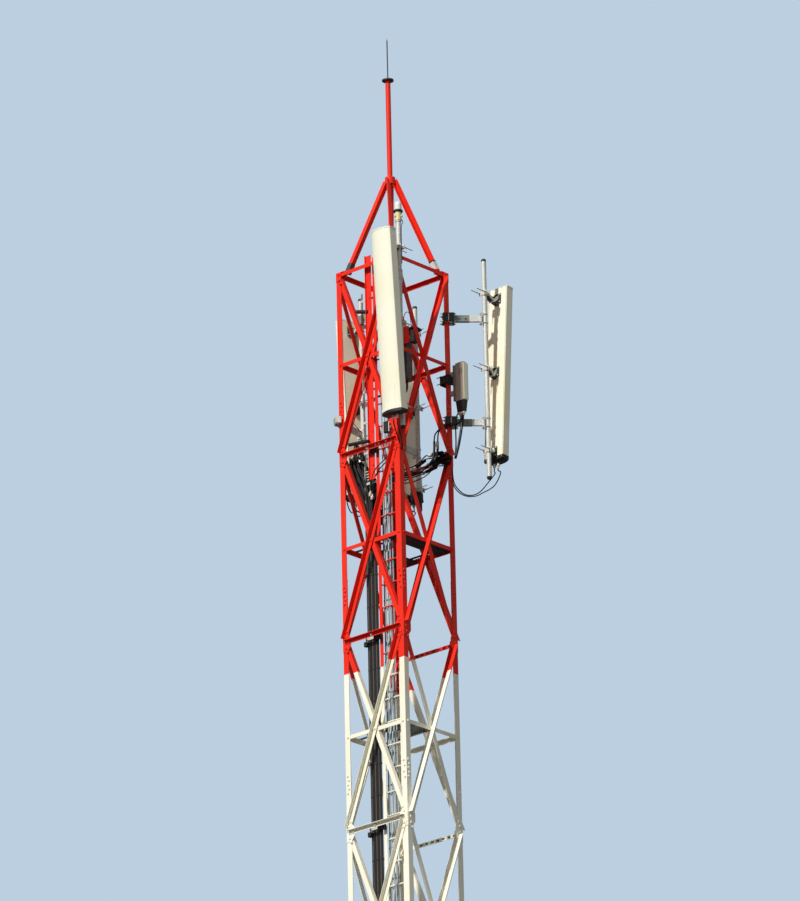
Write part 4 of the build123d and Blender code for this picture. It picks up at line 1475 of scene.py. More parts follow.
class TOWER_OT_panel_jumpers(bpy.types.Operator):
    """Jumper cables from the antennas' ports to the feeders, with connectors at their ends"""

    bl_idname = "tower.panel_jumpers"
    bl_label = "Panel Jumpers"

    connector_length = 0.07
    overlap = 0.02
    straight = 0.03
    end_overlap = 0.01

    # Each jumper's port, and the points that it passes, seen from the axis and the ring
    routes = {
        "right": (
            (1, ((0.91, 0.93, -2.66), (0.85, 0.87, -2.83), (0.754, 0.754, -2.93),
                 (0.69, 0.69, -2.972), (0.612, 0.612, -2.972), (0.545, 0.545, -2.92),
                 (0.5, 0.5, -2.82), (0.488, 0.478, -2.66), (0.478, 0.462, -2.5))),
            (2, ((0.84, 0.9, -2.66), (0.79, 0.81, -2.8), (0.74, 0.74, -2.905),
                 (0.68, 0.68, -2.955), (0.61, 0.61, -2.955), (0.553, 0.553, -2.9),
                 (0.513, 0.5, -2.8), (0.505, 0.478, -2.64), (0.49, 0.452, -2.49))),
        ),
        "front": (
            (1, ((0.62, -0.73, -2.36), (0.6, -0.66, -2.47), (0.56, -0.57, -2.53),
                 (0.46, -0.46, -2.56), (0.25, -0.43, -2.62), (0.0, -0.42, -2.75),
                 (-0.07, -0.415, -3.0))),
            (2, ((0.68, -0.73, -2.38), (0.655, -0.65, -2.5), (0.59, -0.55, -2.57),
                 (0.47, -0.44, -2.6), (0.24, -0.42, -2.66), (0.02, -0.41, -2.8),
                 (-0.045, -0.41, -3.05))),
        ),
        "left": (
            (1, ((-0.72, 0.02, -2.98), (-0.7, -0.09, -3.02), (-0.62, -0.25, -2.94),
                 (-0.53, -0.36, -2.75), (-0.45, -0.39, -2.58), (-0.425, -0.39, -2.5))),
            (2, ((-0.7, 0.1, -3.0), (-0.66, -0.02, -3.06), (-0.58, -0.2, -2.98),
                 (-0.5, -0.33, -2.8), (-0.43, -0.37, -2.6), (-0.39, -0.385, -2.49))),
        ),
        "back": (
            (1, ((-0.66, 0.98, -2.72), (-0.6, 0.86, -2.8), (-0.52, 0.7, -2.74),
                 (-0.46, 0.54, -2.6), (-0.36, 0.445, -2.53), (-0.15, 0.44, -2.52),
                 (0.1, 0.44, -2.5), (0.32, 0.4, -2.44), (0.36, 0.37, -2.3))),
            (2, ((-0.64, 1.06, -2.74), (-0.57, 0.92, -2.84), (-0.49, 0.72, -2.78),
                 (-0.44, 0.53, -2.66), (-0.34, 0.445, -2.6), (-0.13, 0.44, -2.63),
                 (0.12, 0.44, -2.6), (0.33, 0.385, -2.5), (0.375, 0.35, -2.33))),
        ),
    }

    def execute(self, context):
        diameter = context.scene.tower_sizes.jumper_diameter
        ends = Build()
        plug = connector(diameter, self.connector_length)
        for name, cables in self.routes.items():
            build = Build()
            antenna = ANTENNAS[name]
            for number, points in cables:
                port = antenna.port(number)
                down = (antenna.panel.to_3x3() @ Vector((0, 0, -1))).normalized()
                foot = port + down * self.connector_length
                ends.add(plug, outward(foot, -down))
                route = [foot - down * self.overlap, foot + down * self.straight]
                route += [spot(*point) for point in points]
                build.cable(route, diameter)
                tail = (route[-1] - route[-2]).normalized()
                ends.add(plug, outward(route[-1] - tail * self.end_overlap, tail))
            build.piece("jumpers_" + name, "cable_jacket")
        ends.piece("jumper_connectors", "galvanised", "connector_plating")
        return {"FINISHED"}


class TOWER_OT_left_bundle(bpy.types.Operator):
    """Cables that fan out to the left joint, with their connectors and white ties"""

    bl_idname = "tower.left_bundle"
    bl_label = "Left Bundle"

    cable_diameter = 0.031
    fan_count = 15
    depths = (0.034, 0.062, 0.09)
    sleeve_diameter = 0.05
    sleeve_reach = 0.07
    plug_diameter = 0.018
    plug_length = 0.09
    overlap = 0.02
    tie_size = (0.05, 0.02, 0.011)
    tie_count = 6
    tie_step = (0.012, -0.038)
    tie_start = (-0.17, -0.365, -2.7)

    def fan_route(self, share, depth):
        """Points of one cable of the fan, share 0 on the left and 1 on the right."""
        return [
            spot(-0.18 + 0.16 * share, -0.375 + depth, -3.42),
            spot(-0.19 + 0.16 * share, -0.375 + depth, -3.22),
            spot(-0.27 + 0.21 * share, -0.385 + depth, -2.95 + 0.03 * share),
            spot(-0.385 + 0.25 * share, -0.39 + depth, -2.72),
            spot(-0.43 + 0.22 * share, -0.385 + depth, -2.58 - 0.06 * share),
            spot(-0.435 + 0.18 * share, -0.38 + depth, -2.46 - 0.11 * share),
        ]

    def lead_route(self, share, end, up):
        """Points of the thin lead that bends over from a connector to the left."""
        tip = end + up * self.sleeve_reach
        return [
            tip - up * self.overlap,
            tip + Vector((0.01, 0.01, 0.05)),
            tip + Vector((-0.02 - 0.02 * share, 0.06, 0.09)),
            spot(-0.4, -0.3 + 0.05 * share, -2.24 - 0.03 * share),
            spot(-0.44, -0.2 + 0.05 * share, -2.3 - 0.02 * share),
        ]

    def execute(self, context):
        cables = Build()
        ends = Build()
        ties = Build()
        plug = connector(self.plug_diameter, self.plug_length)
        thin = context.scene.tower_sizes.jumper_diameter
        for index in range(self.fan_count):
            share = index / (self.fan_count - 1)
            row = index % len(self.depths)
            route = self.fan_route(share, self.depths[row])
            cables.cable(route, self.cable_diameter)
            end = route[-1]
            up = (end - route[-2]).normalized()
            reach = up * self.sleeve_reach
            if row == 0:
                cables.rod(end - reach, end + reach, self.sleeve_diameter)
            ends.add(plug, outward(end - up * self.overlap, up))
            cables.cable(self.lead_route(share, end, up), thin)
        tie = block(*self.tie_size, BEVEL)
        x, y, z = self.tie_start
        for index in range(self.tie_count):
            ties.add(tie, spot(x + self.tie_step[0] * index, y, z + self.tie_step[1] * index))
        cables.piece("left_bundle", "cable_jacket")
        ends.piece("left_connectors", "galvanised", "connector_plating")
        ties.piece("bundle_ties", "black_plastic", "tie_plastic")
        return {"FINISHED"}


class TOWER_OT_thin_cables(bpy.types.Operator):
    """Thin cables inside the top bays: left side, radio units and right joint"""

    bl_idname = "tower.thin_cables"
    bl_label = "Thin Cables"

    # Each piece's finish, diameter and sides, and its routes, seen from the axis and the ring
    cables = {
        "thin_cables": ("cable_jacket", 0.009, 6, (
            ((-0.46, -0.35, -1.93), (-0.408, -0.35, -1.968), (-0.294, -0.35, -2.104),
             (-0.182, -0.35, -2.204), (-0.096, -0.35, -2.274), (-0.03, -0.36, -2.4)),
            ((-0.43, -0.36, -2.36), (-0.39, -0.35, -2.412), (-0.304, -0.35, -2.481),
             (-0.219, -0.35, -2.517), (-0.116, -0.35, -2.527), (-0.05, -0.36, -2.6)),
            ((-0.118, 0.3, -0.66), (-0.102, 0.3, -0.525), (-0.065, 0.3, -0.405),
             (0.003, 0.3, -0.419), (0.032, 0.3, -0.563), (0.03, 0.31, -0.72)),
        )),
        "radio_cable_pale": ("pale_jacket", 0.017, 8, (
            ((0.65, 0.505, -1.86), (0.643, 0.5, -1.96), (0.65, 0.5, -2.06),
             (0.591, 0.5, -2.312), (0.54, 0.49, -2.484)),
        )),
        "radio_cables": ("cable_jacket", 0.017, 8, (
            ((0.625, 0.505, -1.86), (0.564, 0.5, -1.96), (0.56, 0.5, -2.102),
             (0.558, 0.5, -2.303), (0.548, 0.49, -2.474)),
            ((0.69, 0.505, -1.86), (0.695, 0.5, -1.96), (0.67, 0.5, -2.1),
             (0.61, 0.5, -2.33), (0.56, 0.49, -2.49)),
        )),
    }

    def execute(self, context):
        for name, (look, diameter, sides, routes) in self.cables.items():
            build = Build()
            for points in routes:
                build.cable([spot(*point) for point in points], diameter, sides)
            build.piece(name, "cable_jacket", look)
        return {"FINISHED"}


class TOWER_OT_right_joint(bpy.types.Operator):
    """Black bundle of connectors and sealing sleeves beside the right joint"""

    bl_idname = "tower.right_joint"
    bl_label = "Right Joint Bundle"

    outer_y = 0.385
    # Each sleeve: x and z of one end, x and z of the other, diameter
    outer_sleeves = (
        (0.4, -2.49, 0.57, -2.5, 0.052),
        (0.42, -2.54, 0.55, -2.57, 0.046),
        (0.43, -2.44, 0.53, -2.45, 0.044),
    )
    inner_y = 0.43
    inner_step = 0.018
    inner_slant = 0.02
    inner_sleeves = (
        (0.4, -2.385, 0.24, -2.375, 0.056),
        (0.4, -2.44, 0.22, -2.49, 0.052),
        (0.44, -2.49, 0.28, -2.55, 0.046),
        (0.34, -2.57, 0.17, -2.6, 0.044),
        (0.17, -2.44, 0.03, -2.5, 0.044),
    )
    cable = 0.016
    plug_length = 0.07
    overlap = 0.01

    def leg_route(self, index, start, run, z):
        """Points of the cable from the start of an inner sleeve down the right leg."""
        return [
            start - run * self.overlap,
            start + run * 0.03,
            spot(0.475, 0.45 - 0.012 * index, z - 0.03),
            spot(0.478, 0.455 - 0.012 * index, z - 0.18),
        ]

    def ladder_route(self, index, end, run, x, z):
        """Points of the cable from the end of an inner sleeve across to the cable ladder."""
        return [
            end - run * 0.06,
            end - run * 0.11,
            spot(x - 0.2, 0.3 - 0.05 * index, z - 0.12),
            spot(0.02 + 0.012 * index, -0.2, -2.78 - 0.05 * index),
            spot(-0.02 + 0.02 * index, -0.36, -3.1 - 0.05 * index),
        ]

    def execute(self, context):
        sleeves = Build()
        bare = Build()
        plug = connector(self.cable, self.plug_length)
        for x0, z0, x1, z1, diameter in self.outer_sleeves:
            sleeves.rod(spot(x0, self.outer_y, z0), spot(x1, self.outer_y, z1), diameter)
        for index, (x0, z0, x1, z1, diameter) in enumerate(self.inner_sleeves):
            y = self.inner_y - self.inner_step * index
            start = spot(x0, y, z0)
            end = spot(x1, y - self.inner_slant, z1)
            run = (start - end).normalized()
            sleeves.rod(start, end, diameter)
            sleeves.cable(self.leg_route(index, start, run, z0), self.cable, 8, 5)
            bare.add(plug, outward(end + run * self.overlap, -run))
            sleeves.cable(self.ladder_route(index, end, run, x1, z1), self.cable)
        sleeves.piece("right_joint_sleeves", "cable_jacket")
        bare.piece("right_joint_connectors", "galvanised", "connector_plating")
        return {"FINISHED"}


class TOWER_OT_radio_fittings(bpy.types.Operator):
    """Hood, covers, vents, clamps and cable glands of the two radio units"""

    bl_idname = "tower.radio_fittings"
    bl_label = "Radio Fittings"

    hood_middle = (-0.04, 0.37, -0.63)
    hood_size = (0.27, 0.14, 0.03)
    hood_tilt = -8
    hood_post = ((0.035, 0.35, -0.735), (0.07, 0.1, 0.17))
    hood_box = ((-0.15, 0.36, -0.74), (0.03, 0.05, 0.1))
    bracket_plates = (
        ((-0.056, 0.302, -0.7), (0.095, 0.01, 0.23)),
        ((-0.056, 0.34, -0.766), (0.095, 0.08, 0.008)),
    )
    vent_size = (0.018, 0.004, 0.006)
    vent_start = (0.012, 0.09)
    vent_pitch = (0.03, 0.016)
    proud = 0.001
    strip_width = 0.006
    rear_depth = 0.024
    back_plate = 0.04
    clamp_level = -1.43
    # Arms and strap of the clamp: middle, counted from the leg's corner, and size
    clamp_rows = (
        ((-0.092, -0.045, 0), (0.016, 0.11, 0.13)),
        ((0.028, -0.045, 0), (0.016, 0.11, 0.13)),
        ((-0.032, -0.096, 0), (0.13, 0.014, 0.11)),
    )
    clamp_threads = ((-0.14, -0.108, -0.045), (-0.14, -0.108, 0.045))
    thread_run = (0.19, 0, 0)
    gland_pitch = 0.032
    gland_low = 0.046
    handle_back = 0.02
    handle_arch = (
        (-0.05, -0.005), (-0.048, 0.03), (-0.03, 0.05), (0.03, 0.05), (0.048, 0.03), (0.05, -0.005),
    )

    def inner_hood(self):
        """Black hood, red bracket and black box above the inner unit."""
        hood = Build()
        place = Matrix.Translation(spot(*self.hood_middle)) @ spin(self.hood_tilt, "X")
        hood.add(block(*self.hood_size, 0.006), place)
        hood.blocks([self.hood_post], 0.006)
        hood.blocks([self.hood_box], 0.004)
        hood.piece("radio_hood", "black_plastic")
        bracket = Build()
        bracket.blocks(self.bracket_plates, BEVEL)
        bracket.piece("radio_bracket", "tower_paint")

    def vents(self, x):
        """Slots in the upper front of the case, to the right of its middle."""
        vents = Build()
        vent = block(*self.vent_size, 0.001)
        for column in range(2):
            for row in range(5):
                right = x + self.vent_start[0] + column * self.vent_pitch[0]
                z = radio_high.z - self.vent_start[1] - row * self.vent_pitch[1]
                vents.add(vent, (right, radio_low.y - self.proud, z))
        vents.piece("radio_vents", "black_plastic")

    def covers(self, x, y, z):
        """Pale side strip and rear cover of the case, and the plate on its left."""
        depth = radio_high.y - radio_low.y
        trim = Build()
        strip = block(self.strip_width, depth * 0.86, RADIO_CASE_HEIGHT * 0.96, BEVEL)
        trim.add(strip, (radio_high.x + self.proud, y, z))
        rear = block(RADIO_CASE_WIDTH, self.rear_depth, RADIO_CASE_HEIGHT * 0.97, 0.004)
        trim.add(rear, (x, radio_high.y + self.rear_depth / 2 - self.proud, z))
        trim.piece("radio_side_cover", "radome")
        plate = block(self.back_plate, depth, RADIO_CASE_HEIGHT * 0.94, 0.004)
        back = Build(plate, (x - (RADIO_CASE_WIDTH + self.back_plate) / 2, y, z))
        back.piece("radio_back_plate", "casing", "dull_zinc_and_painted_shade")

    def leg_clamp(self):
        """Clamp round the right leg: two arms, a strap in front and two threads."""
        clamp = Build()
        corner = spot(HALF, HALF, self.clamp_level)
        for middle, size in self.clamp_rows:
            clamp.add(block(*size, 0.003), corner + Vector(middle))
        for begin in self.clamp_threads:
            start = corner + Vector(begin)
            clamp.rod(start, start + Vector(self.thread_run), 0.012, 8)
        clamp.piece("radio_clamps", "black_plastic", "black_steel_and_painted_shade")

    def execute(self, context):
        self.inner_hood()
        x = radio_high.x - RADIO_CASE_WIDTH / 2
        y = (radio_low.y + radio_high.y) / 2
        self.vents(x)
        self.covers(x, y, radio_high.z - RADIO_CASE_HEIGHT / 2)
        self.leg_clamp()
        glands = Build()
        gland = connector(0.016, 0.06)
        for side in (-1, 0, 1):
            point = Vector((x + side * self.gland_pitch, y, radio_low.z - self.gland_low))
            glands.add(gland, outward(point, UP))
        glands.piece("radio_glands", "galvanised", "connector_plating")
        handle = Build()
        middle = (inner_low + inner_high) / 2
        top = Vector((middle.x, middle.y - self.handle_back, inner_high.z))
        handle.cable([top + Vector((x, 0, z)) for x, z in self.handle_arch], 0.012, 8, 5)
        handle.piece("radio_handle", "black_plastic")
        return {"FINISHED"}


class TOWER_OT_lamp_fittings(bpy.types.Operator):
    """Gasket, lens rings, lugs and lead of the obstruction lamp"""

    bl_idname = "tower.lamp_fittings"
    bl_label = "Lamp Fittings"

    gasket_low = 0.016
    gasket_out = 0.004
    dome_top = 0.13
    dome_gap = 0.002
    rib = 0.0015
    lug_height = 0.055
    lug_turn = 20
    lug_profile = ((0.016, 0), (0.016, 0.012), (0.009, 0.02))
    lead_side = (0.028, 0.022, 0)
    lead_diameter = 0.009
    # Points of the lead: shares of its side, and how far below its top
    lead_points = ((1.2, 0), (1.6, 0.05), (1, 0.12), (1, 0.6))
    collar_low = 0.022
    collar_profile = ((0.034, 0), (0.038, 0.006), (0.038, 0.02), (0.034, 0.026))

    def dome(self, radius):
        """Profile of the lens: ribbed wall and round top."""
        wall = self.dome_top - radius
        profile = []
        for index in range(9):
            profile.append((radius + self.rib * (index % 2), wall * index / 8))
        for step in range(1, 8):
            angle = math.radians(90 * step / 8)
            profile.append((radius * math.cos(angle), wall + radius * math.sin(angle)))
        profile.append((self.dome_gap, self.dome_top))
        return turned(profile, 24)

    def execute(self, context):
        middle = (lamp_low + lamp_high) / 2
        axis = Vector((middle.x, middle.y, 0))
        inner = (lamp_high.x - lamp_low.x) / 2
        outer = inner + self.gasket_out
        edge = [(inner * 0.98, -self.gasket_out), (outer, 0), (outer, 0.018), (inner * 0.9, 0.026)]
        gasket = Build(turned(edge, 24), axis + UP * (lamp_high.z - self.gasket_low))
        gasket.piece("lamp_gasket", "black_plastic")
        radius = (dome_high.x - dome_low.x) / 2 + self.dome_gap
        Build(self.dome(radius), axis + UP * dome_low.z).piece("lens_dome", "lamp_lens")
        lugs = Build()
        lug = turned(self.lug_profile, 12)
        for index in range(3):
            angle = math.radians(120 * index + self.lug_turn)
            direction = Vector((math.cos(angle), math.sin(angle), 0))
            seat = axis + UP * (lamp_low.z + self.lug_height) + direction * (radius - 0.004)
            lugs.add(lug, outward(seat, direction))
        lugs.piece("lamp_lugs", "lamp_paint")
        lead = Build()
        side = Vector(self.lead_side)
        top = axis + UP * (lamp_low.z + 0.02)
        route = [top + side * out - UP * drop for out, drop in self.lead_points]
        lead.cable(route, self.lead_diameter, 6, 5)
        lead.piece("lamp_lead", "cable_jacket")
        collar = Build(turned(self.collar_profile, 16), axis + UP * (lamp_low.z - self.collar_low))
        collar.piece("lamp_collar", "galvanised")
        return {"FINISHED"}


class TOWER_OT_strut_hangers(bpy.types.Operator):
    """Hangers, clamps and small boxes fixed to the struts of the front face"""

    bl_idname = "tower.strut_hangers"
    bl_label = "Strut Hangers"

    hanger_y = -HALF + 0.06
    # Hangers of a joint: middle, whose height is counted from the joint, and size
    hangers = (
        ((0.02, hanger_y, -0.02), (0.11, 0.05, 0.07)),
        ((-0.17, hanger_y, -0.08), (0.05, 0.05, 0.06)),
    )
    stem_x = -0.17
    bolt_x = -0.02
    chamfer = 0.004
    white_size = (0.022, 0.02, 0.05)
    white_across = (-0.042, 0.117, 0.176, 0.293)
    white_place = (-0.515, -2.44)
    # Black sleeves beside the ladder: both ends, diameter and sides
    sleeves = (
        ((-0.386, -0.45, -2.303), (-0.049, -0.45, -2.342), 0.045, 10),
        ((-0.276, -0.42, -0.532), (-0.047, -0.42, -0.598), 0.05, 8),
    )
    black_box = ((0.249, -0.45, -2.24), (0.068, 0.05, 0.146))
    grey_box = ((-0.185, -0.42, -0.68), (0.09, 0.06, 0.12))
    studs_across = (0.205, 0.295)
    stud_ends = ((-0.46, -2.18), (-0.46, -2.31))

    def joint_hangers(self, black, pale):
        """Wide and small hanger and a bolt at each joint's front strut."""
        bolt = hex_bolt(0.018, 0.012)
        for joint in range(1, BAY_COUNT):
            height = FOOT_HEIGHT + joint * BAY_HEIGHT
            z = height - RING_Z
            rows = [((x, y, z + rise), size) for (x, y, rise), size in self.hangers]
            black.blocks(rows, self.chamfer)
            stem = spot(self.stem_x, self.hanger_y, z)
            black.rod(stem - UP * 0.05, stem + UP * 0.01, 0.012, 8)
            pale.add(bolt, on_face(0, self.bolt_x, height, HALF + 0.012))

    def execute(self, context):
        black = Build()
        pale = Build()
        self.joint_hangers(black, pale)
        white = block(*self.white_size, 0.003)
        for x in self.white_across:
            pale.add(white, spot(x, *self.white_place))
        for start, end, diameter, sides in self.sleeves:
            black.rod(spot(*start), spot(*end), diameter, sides)
        black.blocks([self.black_box], self.chamfer)
        grey = Build()
        grey.blocks([self.grey_box], 0.005)
        grey.piece("small_box", "casing", "dull_zinc_and_painted_shade")
        for x in self.studs_across:
            start, end = [spot(x, *place) for place in self.stud_ends]
            pale.rod(start, end, 0.014)
        black.piece("strut_hangers", "black_plastic")
        pale.piece("strut_clamps", "galvanised", "connector_plating")
        return {"FINISHED"}


class TOWER_OT_upper_rail(bpy.types.Operator):
    """Wide painted angle beside the ladder in the top bays"""

    bl_idname = "tower.upper_rail"
    bl_label = "Upper Rail"

    low = -2.85
    high = 0.16
    left = -0.07
    right = 0.017
    web_y = -0.4155
    thick = 0.006
    flange = 0.03
    chamfer = 0.001
    bolt_size = (0.014, 0.012)
    bolt_count = 7
    bolt_pitch = 0.45
    bolt_drop = 0.12
    bolt_inset = 0.03

    def execute(self, context):
        rail = Build()
        height = self.high - self.low
        middle = (self.low + self.high) / 2
        web_x = (self.left + self.right) / 2
        web = ((web_x, self.web_y - self.thick / 2, middle), (self.right - self.left, self.thick, height))
        flange_x = self.left + self.thick / 2
        flange = ((flange_x, self.web_y - self.flange / 2, middle), (self.thick, self.flange, height))
        rail.blocks((web, flange), self.chamfer)
        bolt = hex_bolt(*self.bolt_size)
        for index in range(self.bolt_count):
            z = self.high - self.bolt_drop - index * self.bolt_pitch
            seat = spot(self.right - self.bolt_inset, self.web_y - self.thick, z)
            rail.add(bolt, outward(seat, FRONT))
        rail.piece("upper_rail", "tower_paint")
        return {"FINISHED"}


class TOWER_OT_pale_conduits(bpy.types.Operator):
    """Pale conduits behind the rungs, with saddles"""

    bl_idname = "tower.pale_conduits"
    bl_label = "Pale Conduits"

    y = -0.332
    foot = 0.45
    top = -2.9
    runs = ((0.055, 0.026), (0.105, 0.032), (0.158, 0.028), (0.205, 0.02))
    saddle_pitch = 0.4
    saddle_share = 0.62
    saddle_height = 0.016

    def execute(self, context):
        conduits = Build()
        saddles = Build()
        for x, diameter in self.runs:
            low = spot(x, self.y, self.foot - RING_Z)
            high = spot(x, self.y, self.top)
            conduits.rod(low, high, diameter, 12)
            radius = diameter * self.saddle_share
            half = self.saddle_height / 2
            saddle = turned([(radius, -half), (radius, half)], 12)
            count = int((high.z - self.foot) / self.saddle_pitch)
            for index in range(1, count + 1):
                saddles.add(saddle, (low.x, low.y, self.foot + index * self.saddle_pitch))
        conduits.piece("pale_conduits", "cable_jacket", "pale_jacket")
        saddles.piece("conduit_saddles", "black_plastic")
        return {"FINISHED"}


class TOWER_OT_tread_boards(bpy.types.Operator):
    """Dark boards on the bearers of the two rest platforms, partly painted shade where they reach over
    the rings.
    """

    bl_idname = "tower.tread_boards"
    bl_label = "Tread Boards"

    gap = 0.012
    board_thick = 0.022
    ring_steel = 0.018
    # The upper boards reach out over the ring to the corners; there they stand in for the shade under the
    # platform, a painted shade.
    # Each field of boards: low x, high x, low y, high y, number of boards
    upper_board_and_shade_fields = ((-0.46, -0.13, -0.12, 0.48, 3), (0.21, 0.48, -0.42, 0.48, 3))
    lower_field = (-0.06, 0.36, -0.31, -0.14, 4)
    lower_rise = 0.03
    blocks_across = (-0.04, 0.34)
    block_size = (0.03, 0.1, 0.03)

    def boards(self, build, field, z):
        """Boards side by side that run along Y."""
        x0, x1, y0, y1, count = field
        width = (x1 - x0 - self.gap * (count - 1)) / count
        board = block(width, y1 - y0, self.board_thick, BEVEL)
        for index in range(count):
            x = x0 + width / 2 + index * (width + self.gap)
            build.add(board, spot(x, (y0 + y1) / 2, z + self.board_thick / 2))

    def execute(self, context):
        build = Build()
        upper = platform_high.z - RING_Z
        lower = upper - BAY_HEIGHT
        for field in self.upper_board_and_shade_fields:
            self.boards(build, field, upper - self.ring_steel - self.board_thick)
        self.boards(build, self.lower_field, lower + self.lower_rise)
        rows = [((x, -0.26, lower + 0.016), self.block_size) for x in self.blocks_across]
        build.blocks(rows, BEVEL)
        build.piece("tread_boards", "tower_paint", "black_steel_and_painted_shade")
        return {"FINISHED"}


class TOWER_OT_strut_slots(bpy.types.Operator):
    """Dark slots along the struts of the back face"""

    bl_idname = "tower.strut_slots"
    bl_label = "Strut Slots"

    pitch = 0.09
    reach = 0.36
    slot_size = (0.042, 0.003, 0.02)
    sunk = 0.001

    def execute(self, context):
        build = Build()
        slot = block(*self.slot_size, 0.001)
        count = int(2 * self.reach / self.pitch) + 1
        y = HALF + GUSSET_THICK - self.sunk
        for joint in range(1, BAY_COUNT):
            z = FOOT_HEIGHT + joint * BAY_HEIGHT - RING_Z
            for index in range(count):
                build.add(slot, spot(-self.reach + index * self.pitch, y, z))
        build.piece("strut_slots", "black_plastic")
        return {"FINISHED"}


class TOWER_OT_bracket_bodies(bpy.types.Operator):
    """Black wedges between the poles and the antennas' back plates, and the back pole's grip"""

    bl_idname = "tower.bracket_bodies"
    bl_label = "Bracket Bodies"

    half_width = 0.032
    pole_gap = 0.004
    pole_rises = (-0.045, -0.015)
    panel_out = 0.011
    panel_rises = (-0.095, -0.005)
    sleeve_above = 0.03
    sleeve_thick = 0.005
    grip_width = 0.15
    grip_height = 0.12
    grip_chamfer = 0.006

    def foot_grip(self):
        """Black sleeve and block at the foot of the back antenna's pole."""
        back = ANTENNAS["back"]
        grip = Build()
        foot = back.pole @ Vector((0, 0, -back.spare))
        head = back.pole @ Vector((0, 0, self.sleeve_above))
        grip.rod(foot, head, 2 * (POLE_RADIUS + self.sleeve_thick), 16)
        depth = POLE_RADIUS + PANEL_SEAT
        place = Matrix.Translation((0, -depth / 2, self.sleeve_above - self.grip_height / 2))
        size = (self.grip_width, depth, self.grip_height)
        grip.add(block(*size, self.grip_chamfer), back.pole @ place)
        grip.piece("antenna_back_grip", "black_plastic")

    def execute(self, context):
        for name, antenna in ANTENNAS.items():
            build = Build()
            for z in antenna.brackets():
                points = []
                for x in (-self.half_width, self.half_width):
                    for rise in self.pole_rises:
                        pole_side = Vector((x, -POLE_RADIUS - self.pole_gap, z + rise))
                        points.append(antenna.pole @ pole_side)
                    for rise in self.panel_rises:
                        points.append(antenna.panel @ Vector((x, self.panel_out, z + rise)))
                build.add(hull(points))
            build.piece("bracket_bodies_" + name, "black_plastic", "black_steel_and_painted_shade")
        self.foot_grip()
        return {"FINISHED"}


class TOWER_OT_front_boot(bpy.types.Operator):
    """Skirt and deep black end cap of the front antenna"""

    bl_idname = "tower.front_boot"
    bl_label = "Front Boot"

    panel_depth = 0.16
    # Outlines of both pieces: how far each is outside the panel, and its height
    skirt_outlines = ((0.005, -0.05), (0.005, 0.004))
    cap_outlines = ((-0.004, -0.092), (0.006, -0.084), (0.006, -0.049))

    def section(self, grow, z):
        """Points round the panel's section: flat back and sides, bowed front."""
        half = PANEL_WIDTH / 2 + grow
        points = [Vector((-half, grow, z)), Vector((half, grow, z))]
        bow = self.panel_depth - PANEL_SIDE_DEPTH
        for step in range(17):
            x = half * (step / 8 - 1)
            y = -PANEL_SIDE_DEPTH - grow - bow * (1 - (x / half) ** 2)
            points.append(Vector((x, y, z)))
        return points

    def sleeve(self, outlines):
        """Convex piece round the panel's lower end through its outlines."""
        points = [point for outline in outlines for point in self.section(*outline)]
        return Build(hull(points), ANTENNAS["front"].panel)

    def execute(self, context):
        self.sleeve(self.skirt_outlines).piece("front_skirt", "radome")
        self.sleeve(self.cap_outlines).piece("front_cap", "black_plastic", "cap_plastic")
        return {"FINISHED"}


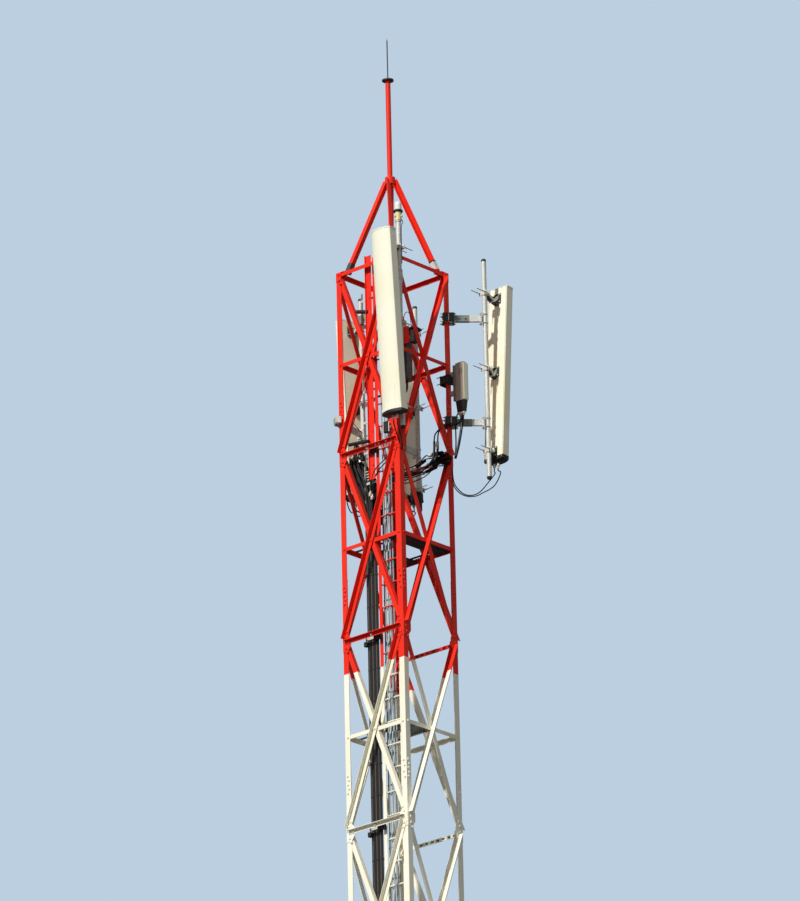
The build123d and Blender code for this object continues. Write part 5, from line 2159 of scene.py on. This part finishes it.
class TOWER_OT_stage(bpy.types.Operator):
    """Floor, lamps, world and the camera of the photograph"""

    bl_idname = "tower.stage"
    bl_label = "Stage"

    aim_below_ring = 1.0
    azimuth = 41.63
    rise = 21.874
    roll = 1.294
    yaw = 0.032
    pitch = -0.842
    key_direction = (0.06, -0.78, 0.62)
    fill_direction = (0.55, -0.6, 0.2)
    low_share = 0.3
    floor_thick = 0.05
    floor_gap = 0.0005

    def floor(self, context):
        """Round pale floor under the feet."""
        g, place = new_graph("pale_floor")
        grain = g.noise(place, 14.0)
        color = g.mix(grain, (0.7, 0.7, 0.69), (0.76, 0.76, 0.75))
        material = g.surface(color, 0.85)
        mesh = bpy.data.meshes.new("floor")
        radius = context.scene.tower_stage.floor_radius
        points, faces = turned([(radius, -self.floor_thick), (radius, -self.floor_gap)], 128)
        mesh.from_pydata([point + AXIS for point in points], [], faces)
        mesh.materials.append(material)
        floor = bpy.data.objects.new("floor", mesh)
        context.scene.collection.objects.link(floor)

    def world(self, context):
        """Pale backdrop, seen directly and through clear parts, and even fill light for the rest."""
        stage = context.scene.tower_stage
        world = bpy.data.worlds.new("studio")
        context.scene.world = world
        g = Graph(world)
        backdrop = (*stage.backdrop, 1.0)
        cool = (0.93, 0.96, 1, 1)
        seen = g.node("ShaderNodeBackground", None, {"Color": backdrop, "Strength": 1.0})
        height = g.axis(g.node("ShaderNodeTexCoord", output="Generated"), "Z")
        share = self.low_share + (1 - self.low_share) * height.above(-0.25, 0.25)
        inputs = {"Color": cool, "Strength": share * stage.fill_strength}
        fill = g.node("ShaderNodeBackground", None, inputs)
        camera = g.node("ShaderNodeLightPath", output="Is Camera Ray")
        through = g.node("ShaderNodeLightPath", output="Is Transmission Ray")
        shown = g.node("ShaderNodeMixShader", None, {0: camera + through, 1: fill, 2: seen})
        g.node("ShaderNodeOutputWorld", None, {"Surface": shown})

    def lamp(self, context, name, direction, strength, color, angle):
        """Far lamp that shines from a direction."""
        data = bpy.data.lights.new(name, "SUN")
        data.energy = strength
        data.color = color
        data.angle = math.radians(angle)
        lamp = bpy.data.objects.new(name, data)
        lamp.rotation_mode = "QUATERNION"
        lamp.rotation_quaternion = Vector(direction).to_track_quat("Z", "Y")
        context.scene.collection.objects.link(lamp)

    def camera(self, context):
        """Camera far below and in front, as in the photograph."""
        stage = context.scene.tower_stage
        turned_by = math.radians(self.azimuth)
        raised = math.radians(self.rise)
        back = Vector((
            math.sin(turned_by) * math.cos(raised),
            -math.cos(turned_by) * math.cos(raised),
            -math.sin(raised),
        ))
        aim = AXIS + UP * (RING_Z - self.aim_below_ring)
        right = (-back).cross(UP).normalized()
        up = right.cross(-back)
        look = Matrix((right, up, back)).transposed()
        for degrees, axis in ((-self.yaw, "Y"), (self.pitch, "X"), (-self.roll, "Z")):
            look = look @ Matrix.Rotation(math.radians(degrees), 3, axis)
        data = bpy.data.cameras.new("photograph_view")
        data.sensor_width = 36.0
        data.lens = stage.lens
        data.clip_end = 400.0
        camera = bpy.data.objects.new("photograph_view", data)
        camera.matrix_world = Matrix.Translation(aim + back * stage.distance) @ look.to_4x4()
        context.scene.collection.objects.link(camera)
        context.scene.camera = camera

    def execute(self, context):
        stage = context.scene.tower_stage
        context.scene.view_settings.view_transform = "Standard"
        self.floor(context)
        self.world(context)
        self.lamp(context, "key", self.key_direction, stage.key_strength, (1.0, 0.985, 0.95), 3.0)
        self.lamp(context, "soft_fill", self.fill_direction, 0.2, (0.96, 0.98, 1.0), 30.0)
        self.camera(context)
        return {"FINISHED"}


class TOWER_PT_panel(bpy.types.Panel):
    """Lists the sizes, colours and pieces of the tower"""

    bl_idname = "TOWER_PT_panel"
    bl_label = "Cell Tower"
    bl_space_type = "VIEW_3D"
    bl_region_type = "UI"
    bl_category = "Cell Tower"

    def draw(self, context):
        scene = context.scene
        for group in (scene.tower_paint, scene.tower_sizes, scene.tower_stage):
            box = self.layout.box()
            for name in group.__annotations__:
                box.prop(group, name)
        for operator in OPERATORS:
            self.layout.operator(operator.bl_idname)


OPERATORS = (
    TOWER_OT_stage, TOWER_OT_frame_finishes, TOWER_OT_splice_bolts, TOWER_OT_joint_bolts,
    TOWER_OT_foot_fittings, TOWER_OT_spire_fittings, TOWER_OT_ladder_fittings,
    TOWER_OT_feeder_clamps, TOWER_OT_control_ties, TOWER_OT_pole_hardware, TOWER_OT_leg_clamps,
    TOWER_OT_panel_trim, TOWER_OT_panel_jumpers, TOWER_OT_left_bundle, TOWER_OT_thin_cables,
    TOWER_OT_right_joint, TOWER_OT_radio_fittings, TOWER_OT_lamp_fittings, TOWER_OT_strut_hangers,
    TOWER_OT_upper_rail, TOWER_OT_pale_conduits, TOWER_OT_tread_boards, TOWER_OT_strut_slots,
    TOWER_OT_bracket_bodies, TOWER_OT_front_boot,
)
CLASSES = (TowerPaint, TowerSizes, TowerStage, *OPERATORS, TOWER_PT_panel)


def register():
    for item in CLASSES:
        bpy.utils.register_class(item)
    bpy.types.Scene.tower_paint = PointerProperty(type=TowerPaint)
    bpy.types.Scene.tower_sizes = PointerProperty(type=TowerSizes)
    bpy.types.Scene.tower_stage = PointerProperty(type=TowerStage)


def unregister():
    del bpy.types.Scene.tower_stage
    del bpy.types.Scene.tower_sizes
    del bpy.types.Scene.tower_paint
    for item in reversed(CLASSES):
        bpy.utils.unregister_class(item)


def main():
    """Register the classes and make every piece."""
    register()
    for operator in OPERATORS:
        group, name = operator.bl_idname.split(".")
        getattr(getattr(bpy.ops, group), name)()


if __name__ == "__main__":
    main()
